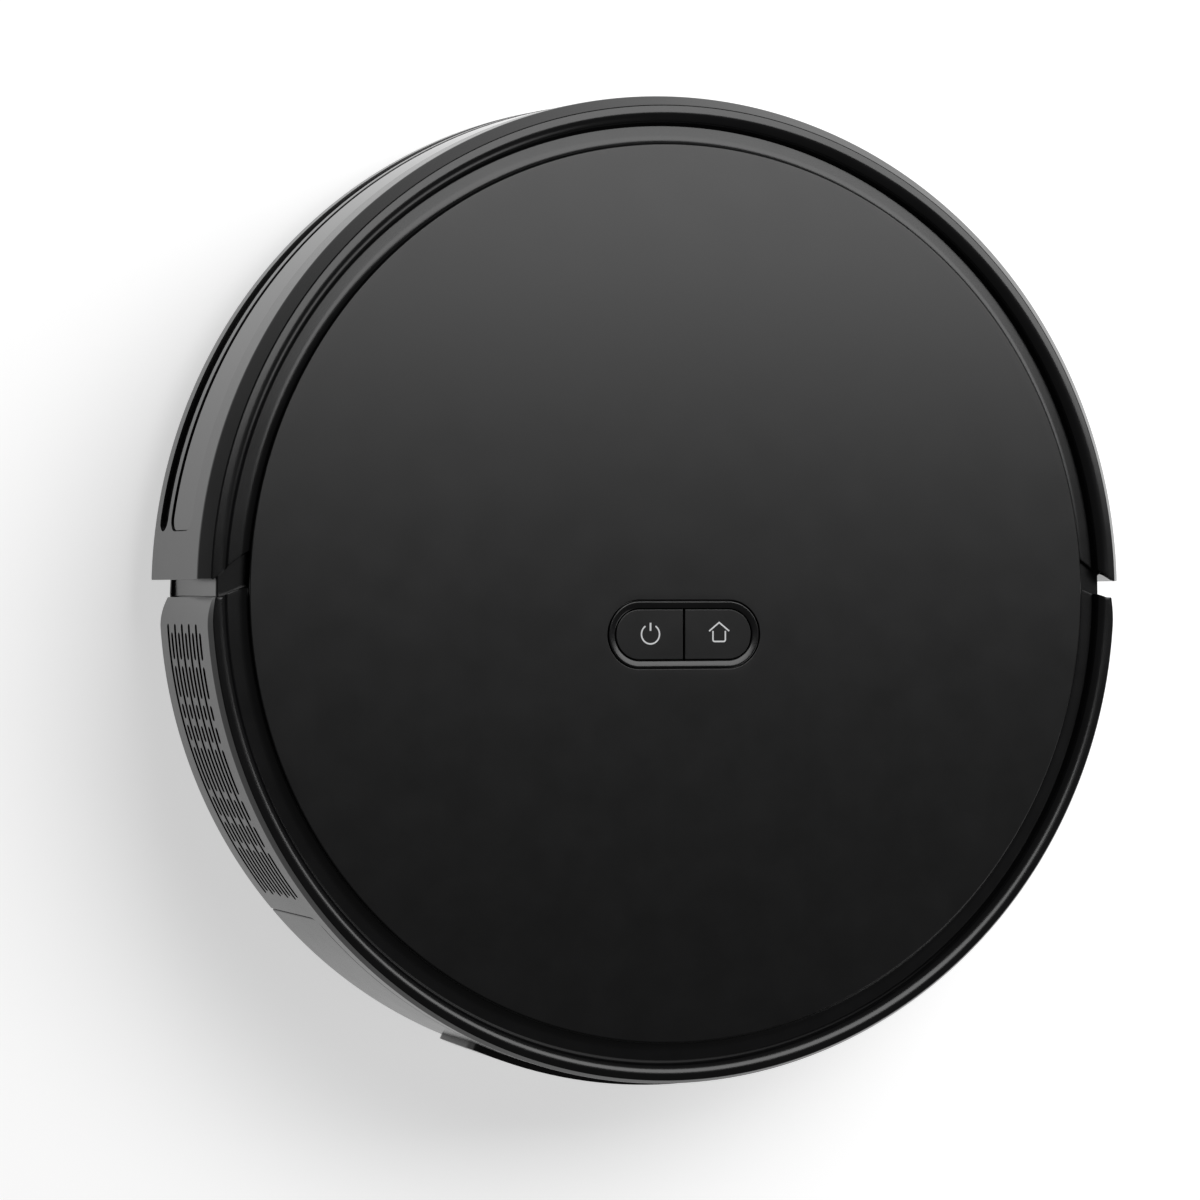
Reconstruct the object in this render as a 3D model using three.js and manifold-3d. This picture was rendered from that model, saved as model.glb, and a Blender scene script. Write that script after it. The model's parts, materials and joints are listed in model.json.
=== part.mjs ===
// Robot vacuum, built as its real assembly of separate pieces.
// Millimetres. +Z is up, the floor is z = 0, +Y is the front and +X the right side.
// The origin is on the floor, under the axis of the round body.
import * as THREE from 'three';
import { mergeVertices } from 'three/addons/utils/BufferGeometryUtils.js';
import Module from 'manifold-3d';

const wasm = await Module();
wasm.setup();

// ---------------------------------------------------------------- driving dimensions
const bodyRadius = 165;          // bumper, at its lower lip
const bodyHeight = 76;           // top of the raised rim
const groundClearance = 9.5;     // flat underside to the floor
const gap = 0.3;                 // play between neighbouring pieces
const roundSides = 60;           // facets of the big round shells

// raised rim and groove, from the outside inwards
const bumperLean = 2.9;          // the bumper wall leans out by this much at its lip
const rimChamfer = 3.5;          // sloping band outside the rim
const rimWidth = 2.0;            // flat top of the rim
const rimRise = 4.1;             // rounded band between groove and rim
const grooveWidth = 6.2;         // groove floor and its fillet
const panelDrop = 1.2;           // panel surface below the rim
const grooveDepth = 3.5;         // groove floor below the panel
const rimChamferDepth = 4.8;     // top edge of the bumper wall below the rim

// shells
const bumperBottom = 23.7;
const bumperTravel = 4;
const rearBottom = 17.3;
const rearLean = 1.0;
const rearEdgeDrop = 2.5;        // top edge of the rear wall below the rim
const shellWall = 2.7;
const panelThickness = 1.1;
const deckThickness = 2;
const baseThickness = 3.2;
const baseRim = 6.2;             // height of the sloping edge of the base

// infrared window and the slot under it
const windowTop = 61.3;
const windowBottom = 42.3;
const windowGroove = 2.2;
const slotTop = 37;
const slotBottom = 29.1;
const slotDepth = 1.3;
const windowEndAngle = 6.9;      // degrees ahead of the X axis

// vent field in the side wall
const ventRows = 10;
const ventPitch = 4.1;
const ventSlot = 1.9;
const ventFirstRow = 27.2;
const ventStart = 3.5;           // degrees behind the X axis
const ventEnd = 37.4;
const dashStart = 4.5;
const dashBreaks = [7.98, 12.4, 14.9, 17.55, 23.7, 26.95, 30.4];
const dashBreakWidth = 0.75;

// buttons in the panel
const pillLength = 53.2;
const pillWidth = 22;
const pillY = -13.4;
const bezelWidth = 2.4;
const buttonTravel = 0.6;

// dust bin
const binWidth = 120;
const binFront = -61;
const binFloor = 18;
const binTop = 63;
const binWall = 1.6;
const coverHalfAngle = 50;       // degrees each side of the rear axis
const coverTop = 66;
const gripHalfAngle = 24.5;
const gripRise = 1.6;

// drive wheels
const tyreDiameter = 66;
const tyreWidth = 17;
const wheelCentre = 118;         // each side of the middle
const wheelY = -5;               // axles behind the body axis, so that the weight rests on the caster
const wheelBoss = 44.6;          // hub diameter under the tyre
const armThickness = 18.5;
const armReach = 44;             // pivot ahead of the axle
const armPivotZ = 30;
const wellFrontClear = 16;       // ahead of the pivot
const wellRearClear = 9;         // behind the tyre
const wellWall = 2;

// main roller
const rollerDiameter = 33;
const rollerY = -30;
const rollerHeight = 18.5;
const bayHalfLength = 80;
const bayHalfWidth = 20;
const bayRoof = 38;

// front caster
const casterInset = 34.2;        // axis behind the edge of the flat underside
const casterWheelRadius = 10;
const casterTrail = 5;

// side brushes
const brushHubRadius = 125;      // from the body axis
const brushAngle = 45;           // degrees from straight ahead
const brushReach = 50;
const brushArms = 3;

// battery
const batteryLength = 72;
const batteryWidth = 72;
const batteryHeight = 20.5;
const batteryRear = 6;

// suction fan
const fanSideRoom = 8;           // from the dust bin to the fan housing
const fanFrontRoom = 3.5;        // from the wheel well to the fan housing
const fanWall = 2;
const impellerPlay = 4;          // from the impeller to the housing wall

// ---------------------------------------------------------------- worked-out dimensions
const wallTopRadius = bodyRadius - bumperLean;
const rimOuter = wallTopRadius - rimChamfer;
const rimInner = rimOuter - rimWidth;
const grooveOuter = rimInner - rimRise;
const panelRadius = grooveOuter - grooveWidth;
const panelTop = bodyHeight - panelDrop;
const panelBottom = panelTop - panelThickness;
const grooveFloor = panelTop - grooveDepth;
const bumperWallTop = bodyHeight - rimChamferDepth;
const rearRimOuter = rimOuter - gap;
const rearTopRadius = rearRimOuter + 1.3;
const rearWallTop = bodyHeight - rearEdgeDrop;
const rearBottomRadius = rearTopRadius + rearLean;
const flangeInner = panelRadius - 0.4;
const flangeTop = panelBottom - 0.5;
const flangeThickness = 1.1;
const deckTop = panelBottom - gap;
const ledgeTop = grooveFloor - flangeThickness - 0.4;
const ledgeBottom = ledgeTop - deckThickness;
const deckRadius = flangeInner - bumperTravel - 1;
const drumRadius = rimOuter - 3;
const drumWall = 2.4;
const panRadius = rearTopRadius - shellWall - gap;
const panRimTop = groundClearance + baseRim + 1.5;
const panFlatRadius = panRadius - 14.4;
const baseTop = groundClearance + baseThickness;
const wellTop = ledgeBottom - gap;
const wellInner = wheelCentre - tyreWidth / 2 - 2 - armThickness - 2;
const wellOuter = wheelCentre + tyreWidth / 2 + 2.5;
const tyreRadius = tyreDiameter / 2;
const armPivotY = wheelY + armReach;
const wellFront = armPivotY + wellFrontClear;
const wellRear = wheelY - tyreRadius - wellRearClear;
const casterY = panFlatRadius - casterInset;
const drumBottom = panRimTop + gap;
// the fan housing fills the corner between the dust bin, the wheel well and the drum
const fanSide = binWidth / 2 + fanSideRoom;
const fanFront = Math.max(fanFrontRoom - wellRear, bayHalfWidth - rollerY + 0.5);
const fanRoom = drumRadius - drumWall - 1.2;
const fanSum = fanSide + fanFront + fanRoom;
const fanRadius = Math.sqrt(fanSum ** 2 + fanRoom ** 2 - fanSide ** 2 - fanFront ** 2) - fanSum;
const fanX = -(fanSide + fanRadius);
const fanY = -(fanFront + fanRadius);
const impellerRadius = fanRadius - fanWall - impellerPlay;

// ---------------------------------------------------------------- colours
const satinBlack = { color: 0x232324, roughness: 0.45, metalness: 0 };
const panelBlack = { color: 0x18181a, roughness: 0.32, metalness: 0 };
const matteBlack = { color: 0x1a1a1b, roughness: 0.7, metalness: 0 };
const windowBlack = { color: 0x0c0c0e, roughness: 0.08, metalness: 0 };
const darkGrey = { color: 0x3a3b3d, roughness: 0.6, metalness: 0 };
const smoke = { color: 0x4a4d50, roughness: 0.2, metalness: 0 };
const rubberBlack = { color: 0x141414, roughness: 0.9, metalness: 0 };
const steel = { color: 0xb9bcc0, roughness: 0.3, metalness: 1 };
const brass = { color: 0xc9a35a, roughness: 0.35, metalness: 1 };
const boardGreen = { color: 0x1d5a36, roughness: 0.5, metalness: 0 };
const batteryBlue = { color: 0x2457a8, roughness: 0.4, metalness: 0 };
const filterWhite = { color: 0xe8e6df, roughness: 0.9, metalness: 0 };
const bristleBlue = { color: 0x2a2c30, roughness: 0.8, metalness: 0 };

// ---------------------------------------------------------------- solid helpers
function signedVolume(geometry) {
  const p = geometry.attributes.position;
  const index = geometry.index;
  const a = new THREE.Vector3();
  const b = new THREE.Vector3();
  const c = new THREE.Vector3();
  let sum = 0;
  for (let i = 0; i < index.count; i += 3) {
    a.fromBufferAttribute(p, index.getX(i));
    b.fromBufferAttribute(p, index.getX(i + 1));
    c.fromBufferAttribute(p, index.getX(i + 2));
    sum += a.dot(b.cross(c)) / 6;
  }
  return sum;
}

// A closed three.js geometry as a solid that can be joined and cut.
function solid(geometry) {
  const plain = geometry.clone();
  for (const name of Object.keys(plain.attributes)) {
    if (name !== 'position') plain.deleteAttribute(name);
  }
  const welded = mergeVertices(plain, 1e-4);
  const triangles = Array.from(welded.index.array);
  const inverted = signedVolume(welded) < 0;
  const triVerts = new Uint32Array(triangles.length);
  let used = 0;
  for (let i = 0; i < triangles.length; i += 3) {
    const [a, b, c] = triangles.slice(i, i + 3);
    if (a === b || b === c || c === a) continue;
    triVerts.set(inverted ? [a, c, b] : [a, b, c], used);
    used += 3;
  }
  const vertProperties = new Float32Array(welded.attributes.position.array);
  const mesh = new wasm.Mesh({ numProp: 3, vertProperties, triVerts: triVerts.slice(0, used) });
  return new wasm.Manifold(mesh);
}

function join(first, ...others) {
  return others.reduce((body, other) => body.add(other), first);
}

function cut(first, ...others) {
  return others.reduce((body, other) => body.subtract(other), first);
}

function geometryOf(body) {
  const mesh = body.getMesh();
  const geometry = new THREE.BufferGeometry();
  geometry.setAttribute('position', new THREE.BufferAttribute(mesh.vertProperties, 3));
  geometry.setIndex(new THREE.BufferAttribute(mesh.triVerts, 1));
  geometry.computeVertexNormals();
  return geometry;
}

function block(x0, x1, y0, y1, z0, z1) {
  const geometry = new THREE.BoxGeometry(x1 - x0, y1 - y0, z1 - z0);
  geometry.translate((x0 + x1) / 2, (y0 + y1) / 2, (z0 + z1) / 2);
  return solid(geometry);
}

// Round bar along Z.
function post(radius, x, y, z0, z1, sides = 24) {
  const geometry = new THREE.CylinderGeometry(radius, radius, z1 - z0, sides);
  geometry.rotateX(Math.PI / 2);
  geometry.translate(x, y, (z0 + z1) / 2);
  return solid(geometry);
}

// Round bar along X.
function rodX(radius, x0, x1, y, z, sides = 24) {
  const geometry = new THREE.CylinderGeometry(radius, radius, x1 - x0, sides);
  geometry.rotateZ(Math.PI / 2);
  geometry.translate((x0 + x1) / 2, y, z);
  return solid(geometry);
}

// Round bar along Y.
function rodY(radius, x, y0, y1, z, sides = 16) {
  const geometry = new THREE.CylinderGeometry(radius, radius, y1 - y0, sides);
  geometry.translate(x, (y0 + y1) / 2, z);
  return solid(geometry);
}

// Profile of [radius, height] points turned about the Z axis.
function turned(profile, sides = roundSides) {
  const points = profile.map(([r, z]) => new THREE.Vector2(r, z));
  const onAxis = profile[0][0] === 0 && profile[profile.length - 1][0] === 0;
  if (!onAxis) points.push(points[0].clone());
  const geometry = new THREE.LatheGeometry(points, sides);
  geometry.rotateX(Math.PI / 2);
  return solid(geometry);
}

function plate(shape, z0, z1, curveSegments = 9) {
  const geometry = new THREE.ExtrudeGeometry(shape, { depth: z1 - z0, bevelEnabled: false, curveSegments });
  geometry.translate(0, 0, z0);
  return solid(geometry);
}

function polygon(points) {
  return new THREE.Shape(points.map(([x, y]) => new THREE.Vector2(x, y)));
}

const radians = THREE.MathUtils.degToRad;
const facetAngle = 360 / roundSides;

// Part of a flat ring, with angles counted from +X towards +Y in degrees.
function sector(r0, r1, a0, a1, z0, z1) {
  const count = Math.max(1, Math.ceil((a1 - a0) / facetAngle));
  const points = [];
  for (let i = 0; i <= count; i += 1) {
    const a = radians(a0 + ((a1 - a0) * i) / count);
    points.push([r1 * Math.cos(a), r1 * Math.sin(a)]);
  }
  for (let i = count; i >= 0; i -= 1) {
    const a = radians(a0 + ((a1 - a0) * i) / count);
    points.push([r0 * Math.cos(a), r0 * Math.sin(a)]);
  }
  return plate(polygon(points), z0, z1);
}

// Outline with two round ends, its length along X.
function pill(length, width, x = 0, y = 0) {
  const r = width / 2;
  const reach = length / 2 - r;
  const shape = new THREE.Shape();
  shape.moveTo(x - reach, y - r);
  shape.lineTo(x + reach, y - r);
  shape.absarc(x + reach, y, r, -Math.PI / 2, Math.PI / 2, false);
  shape.lineTo(x - reach, y + r);
  shape.absarc(x - reach, y, r, Math.PI / 2, (Math.PI * 3) / 2, false);
  return shape;
}

function mirrored(points) {
  return points.map(([x, y]) => [-x, y]).reverse();
}

const robot = new THREE.Group();

function piece(name, shape, look, x = 0, y = 0, z = 0) {
  const geometry = shape.isBufferGeometry ? shape : geometryOf(shape);
  const mesh = new THREE.Mesh(geometry, new THREE.MeshStandardMaterial(look));
  mesh.name = name;
  mesh.position.set(x, y, z);
  robot.add(mesh);
  return mesh;
}

const sides = [
  ['left', -1],
  ['right', 1],
];

// ---------------------------------------------------------------- shells
// Top surface from under the panel edge, through the groove, to the inside of the rim.
function rimSurface() {
  const fillet = 3.4;
  const points = [];
  for (let i = 0; i <= 3; i += 1) {
    const t = (i / 3) * (Math.PI / 2);
    const drop = flangeTop - grooveFloor;
    points.push([flangeInner + fillet * (1 - Math.cos(t)), flangeTop - drop * Math.sin(t)]);
  }
  points.push([grooveOuter, grooveFloor]);
  for (let i = 1; i <= 3; i += 1) {
    const t = (i / 3) * (Math.PI / 2);
    const rise = bodyHeight - grooveFloor;
    points.push([grooveOuter + rimRise * (1 - Math.cos(t)), grooveFloor + rise * Math.sin(t)]);
  }
  return points;
}

// Underside of the same band, a little deeper than the drum ledge allows.
function rimUnderside(outer, roof) {
  return [
    [outer, roof],
    [grooveOuter + 2.6, roof],
    [grooveOuter + 1.2, grooveFloor - flangeThickness],
    [flangeInner, grooveFloor - flangeThickness],
  ];
}

// Plan region of the front half, closed by the slanted end faces of the bumper.
function frontRegion() {
  const reach = bodyRadius + 20;
  const half = [
    [reach, 4.2],
    [rimOuter - 1, 4.2],
    [panelRadius, 12.5],
    [panelRadius - 16, 25],
  ];
  const points = [...half, ...mirrored(half), [-reach, reach], [reach, reach]];
  return plate(polygon(points), -10, bodyHeight + 10);
}

// Plan region of the rear half, with the cut corner of the rear shell.
function rearRegion() {
  const reach = bodyRadius + 20;
  const half = [
    [reach, -8],
    [rearBottomRadius, -7.4],
    [rearBottomRadius - 1.2, -3.4],
    [rearBottomRadius - 3.6, -1.3],
    [rimOuter - 3, -1.3],
    [panelRadius + 1, 1.9],
    [panelRadius - 16, 7.3],
  ];
  const points = [...half, ...mirrored(half), [-reach, -reach], [reach, -reach]];
  return plate(polygon(points), -10, bodyHeight + 10);
}

// Outer radius of the bumper wall at a height.
function bumperRadiusAt(z) {
  const t = (bumperWallTop - z) / (bumperWallTop - bumperBottom);
  return wallTopRadius + bumperLean * t;
}

function rearRadiusAt(z) {
  const t = (rearWallTop - z) / (rearWallTop - rearBottom);
  return rearTopRadius + rearLean * t;
}

function bumper() {
  const innerTop = drumRadius + bumperTravel + 0.4;
  const ring = turned([
    ...rimSurface(),
    [rimOuter, bodyHeight - 0.3],
    [wallTopRadius, bumperWallTop],
    [bodyRadius, bumperBottom],
    [bodyRadius - 3, bumperBottom],
    [innerTop, bumperWallTop - 1.5],
    ...rimUnderside(innerTop - 1.6, bodyHeight - 2.2),
  ]);
  const windowCut = sector(innerTop - 3, bodyRadius + 5, windowEndAngle, 180 - windowEndAngle,
    windowBottom, windowTop);
  const grooveCut = sector(bumperRadiusAt(windowBottom) - 1.2, bodyRadius + 5, windowEndAngle,
    180 - windowEndAngle, windowBottom - windowGroove, windowBottom + 0.1);
  const slotCut = sector(bumperRadiusAt(slotBottom) - slotDepth - 0.3, bodyRadius + 5, windowEndAngle,
    180 - windowEndAngle, slotBottom, slotTop);
  return cut(ring.intersect(frontRegion()), windowCut, grooveCut, slotCut);
}

function irWindow() {
  const z0 = windowBottom + gap / 2;
  const z1 = windowTop - gap / 2;
  const depth = 2;
  const strip = turned([
    [bumperRadiusAt(z0) - 0.15, z0],
    [bumperRadiusAt(z1) - 0.15, z1],
    [bumperRadiusAt(z1) - depth, z1],
    [bumperRadiusAt(z0) - depth, z0],
  ]);
  const trim = 0.12;
  const arc = sector(drumRadius, bodyRadius + 5, windowEndAngle + trim, 180 - windowEndAngle - trim,
    z0 - 5, z1 + 5);
  return strip.intersect(arc);
}

// Slots of the vent field between two angles, measured back from the X axis of one side.
function ventSlots(side, from) {
  const slots = [];
  const withDashes = side < 0;
  const arc = (a0, a1, z) => {
    const [lo, hi] = side < 0 ? [180 + a0, 180 + a1] : [-a1, -a0];
    slots.push(sector(rearRimOuter - 6, rearBottomRadius + 3, lo, hi, z, z + ventSlot));
  };
  for (let row = 0; row < ventRows; row += 1) {
    const z = ventFirstRow + row * ventPitch - ventSlot / 2;
    if (row % 2 === 0) {
      arc(Math.max(ventStart, from), ventEnd, z);
      continue;
    }
    if (!withDashes) {
      arc(from + 1, ventEnd - 1, z);
      continue;
    }
    const half = dashBreakWidth / 2;
    const edges = [dashStart, ...dashBreaks.flatMap((b) => [b - half, b + half]), ventEnd - 0.4];
    for (let i = 0; i < edges.length; i += 2) {
      arc(edges[i], edges[i + 1], z);
    }
  }
  return slots;
}

const jackAngle = -6.5;
const rockerAngle = -13;
const sideControlZ = 47;
const jackRadius = 5.5;
const rockerHalf = 8.5;
const rockerHeight = 12;
const rockerPlay = 1.6;          // room at each end for the rocking corners
const rightVentStart = 17.7;

// Radial bar through the side wall at an angle.
function radialBar(radius, angle, r0, r1, z, barSides = 20) {
  const geometry = new THREE.CylinderGeometry(radius, radius, r1 - r0, barSides);
  geometry.rotateZ(Math.PI / 2);
  geometry.translate((r0 + r1) / 2, 0, z);
  geometry.rotateZ(radians(angle));
  return solid(geometry);
}

function radialBlock(halfWidth, height, angle, r0, r1, z) {
  const geometry = new THREE.BoxGeometry(r1 - r0, halfWidth * 2, height);
  geometry.translate((r0 + r1) / 2, 0, z);
  geometry.rotateZ(radians(angle));
  return solid(geometry);
}

function sideControlCuts() {
  return [
    radialBar(jackRadius + gap, jackAngle, drumRadius - 8, bodyRadius + 5, sideControlZ),
    radialBlock(rockerHalf + rockerPlay, rockerHeight + 1, rockerAngle, drumRadius - 8, bodyRadius + 5,
      sideControlZ),
  ];
}

function rearShell() {
  const innerTop = rearTopRadius - shellWall;
  const ring = turned([
    ...rimSurface(),
    [rearRimOuter, bodyHeight - 0.3],
    [rearTopRadius, rearWallTop],
    [rearBottomRadius, rearBottom],
    [rearBottomRadius - 2.6, rearBottom - 1.2],
    [rearBottomRadius - shellWall, rearBottom + 1],
    [innerTop, rearWallTop - 1.5],
    ...rimUnderside(innerTop - 0.8, bodyHeight - 2.2),
  ]);
  const binOpening = sector(drumRadius, bodyRadius + 5, 270 - coverHalfAngle, 270 + coverHalfAngle,
    0, coverTop + gap);
  const half = ring.intersect(rearRegion());
  return cut(half, binOpening, ...ventSlots(-1, 0), ...ventSlots(1, rightVentStart), ...sideControlCuts());
}

const boardPosts = [-28.5, 28.5];
const boardTop = deckTop - deckThickness - 3.2;

const springX = 60;
const springZ = 47;
const springRadius = 4;
const springSeat = 12;           // block behind the spring, square
const springSeatDepth = 14;      // from the drum face to its back
const springSeatWall = 2;

function bumperSpringEnd() {
  const inner = drumRadius + bumperTravel + 0.4 + 0.6;
  return Math.sqrt(inner * inner - springX * springX) - 0.6;
}

function drumFaceY(x) {
  return Math.sqrt(drumRadius * drumRadius - x * x);
}

function upperHousing() {
  const deckBottom = deckTop - deckThickness;
  const shell = turned([
    [0, deckBottom],
    [deckRadius - deckThickness, deckBottom],
    [deckRadius - deckThickness, ledgeBottom],
    [drumRadius - drumWall, ledgeBottom],
    [drumRadius - drumWall, drumBottom],
    [drumRadius, drumBottom],
    [drumRadius, ledgeTop],
    [deckRadius, ledgeTop],
    [deckRadius, deckTop],
    [0, deckTop],
  ]);
  const posts = boardPosts.map((x) => post(2.5, x, pillY, boardTop + gap, deckBottom + 0.5, 12));
  const seatBack = drumFaceY(springX) - springSeatDepth;
  const seatHalf = springSeat / 2;
  const seats = sides.map(([, s]) => block(s * springX - seatHalf, s * springX + seatHalf,
    seatBack, drumFaceY(springX) - 3, springZ - seatHalf, springZ + seatHalf));
  const bores = sides.map(([, s]) => rodY(springRadius + gap, s * springX,
    seatBack + springSeatWall, drumFaceY(springX) + 12, springZ));
  const passageHalf = binWidth / 2 + 4;
  const binPassage = block(-passageHalf, passageHalf, -bodyRadius, -drumRadius + 60, 0, coverTop + 1);
  const ventPassage = sector(drumRadius - 8, drumRadius + 4, 180 + ventStart + 1, 180 + ventEnd - 1,
    ventFirstRow - 3, ventFirstRow + ventRows * ventPitch);
  const rightPassage = sector(drumRadius - 8, drumRadius + 4, -ventEnd + 1, -rightVentStart - 1,
    ventFirstRow - 3, ventFirstRow + ventRows * ventPitch);
  const buttonHole = plate(pill(pillLength - 2 * bezelWidth, pillWidth - 2 * bezelWidth, 0, pillY),
    deckBottom - 1, deckTop + 1);
  return cut(join(shell, ...posts, ...seats), ...bores, binPassage, ventPassage, rightPassage, buttonHole,
    ...sideControlCuts());
}

function topPanel() {
  const bevel = 0.35;
  const disc = turned([
    [0, panelBottom],
    [panelRadius, panelBottom],
    [panelRadius, panelTop - bevel],
    [panelRadius - bevel, panelTop],
    [0, panelTop],
  ]);
  const hole = plate(pill(pillLength + gap, pillWidth + gap, 0, pillY), panelBottom - 1, panelTop + 1);
  return cut(disc, hole);
}

function buttonBezel() {
  const outer = plate(pill(pillLength - gap, pillWidth - gap, 0, pillY), deckTop + gap, panelTop + 0.1);
  const inner = plate(pill(pillLength - 2 * bezelWidth, pillWidth - 2 * bezelWidth, 0, pillY),
    deckTop - 1, panelTop + 1);
  return cut(outer, inner);
}

const buttonTop = panelTop - 0.35;
const buttonBottom = deckTop - deckThickness - 1.2;

function panelButton(side) {
  const play = 0.25;
  const inset = 2 * (bezelWidth + play);
  const whole = plate(pill(pillLength - inset, pillWidth - inset, 0, pillY), buttonBottom, buttonTop);
  const x0 = side < 0 ? -pillLength : play;
  const x1 = side < 0 ? -play : pillLength;
  return whole.intersect(block(x0, x1, pillY - pillWidth, pillY + pillWidth, 0, bodyHeight + 5));
}

function controlBoard() {
  const board = block(-32, 32, pillY - 12, pillY + 12, boardTop - 1.6, boardTop);
  const switches = [-12, 12].map((x) => join(
    block(x - 3, x + 3, pillY - 3, pillY + 3, boardTop - 0.1, boardTop + 0.8),
    post(1.6, x, pillY, boardTop + 0.7, buttonBottom - buttonTravel - 0.2, 12),
  ));
  return join(board, ...switches);
}

// ---------------------------------------------------------------- base
const baseScrewRadius = panFlatRadius - 4;
const frontScrewX = 46;
const screwBoss = 4.6;
const rearScrewY = wellRear - wellWall - screwBoss + 1;
const frontScrewY = Math.sqrt(baseScrewRadius ** 2 - frontScrewX ** 2);
const rearScrewX = Math.sqrt(baseScrewRadius ** 2 - rearScrewY ** 2);
const baseScrews = [
  [-frontScrewX, frontScrewY],
  [frontScrewX, frontScrewY],
  [-rearScrewX, rearScrewY],
  [rearScrewX, rearScrewY],
];
const screwHead = 3.2;
const screwShank = 1.5;
const screwLength = 9;
const screwBore = groundClearance + 2.2;

// Slotted screw with its head at z = 0 and its shank pointing up.
function screw(headRadius, headHeight, length) {
  return cut(
    join(
      post(headRadius, 0, 0, 0, headHeight, 14),
      post(screwShank, 0, 0, headHeight - 0.1, headHeight + length, 8),
    ),
    block(-headRadius * 0.7, headRadius * 0.7, -0.4, 0.4, -1, headHeight / 2),
  );
}

const brushX = brushHubRadius * Math.sin(radians(brushAngle));
const brushY = brushHubRadius * Math.cos(radians(brushAngle));
const brushPocket = 22;
const brushPocketTop = groundClearance + 4.5;

const batteryFront = batteryRear + batteryLength;
const bayClear = 3;
const batteryBay = {
  x: batteryWidth / 2 + bayClear,
  y0: batteryRear - bayClear,
  y1: batteryFront + bayClear,
  top: baseTop + batteryHeight + 1,
};
const doorRim = 8;
const doorThickness = 1.6;
const doorScrewX = batteryBay.x - 10;
const doorScrewY = batteryBay.y1 + doorRim / 2;

const casterPocket = casterTrail + casterWheelRadius + 2.5;
const casterRoof = 29;
const casterStem = 3;

const throatHalf = 46;
const throatLow = 21;
const throatHigh = bayRoof;
const bayFrontWall = binFront + 1;

const contacts = { x: 34, y: casterY, width: 10, length: 20 };
const cliffRadius = panFlatRadius - 7.2;
const cliffPlaces = [
  ['left', 150],
  ['front', 90],
  ['right', 30],
];

function turnedPlace(body, angle, r) {
  const m = new THREE.Matrix4().makeRotationZ(radians(angle));
  m.multiply(new THREE.Matrix4().makeTranslation(r, 0, 0));
  return body.transform(m.elements);
}

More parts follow.
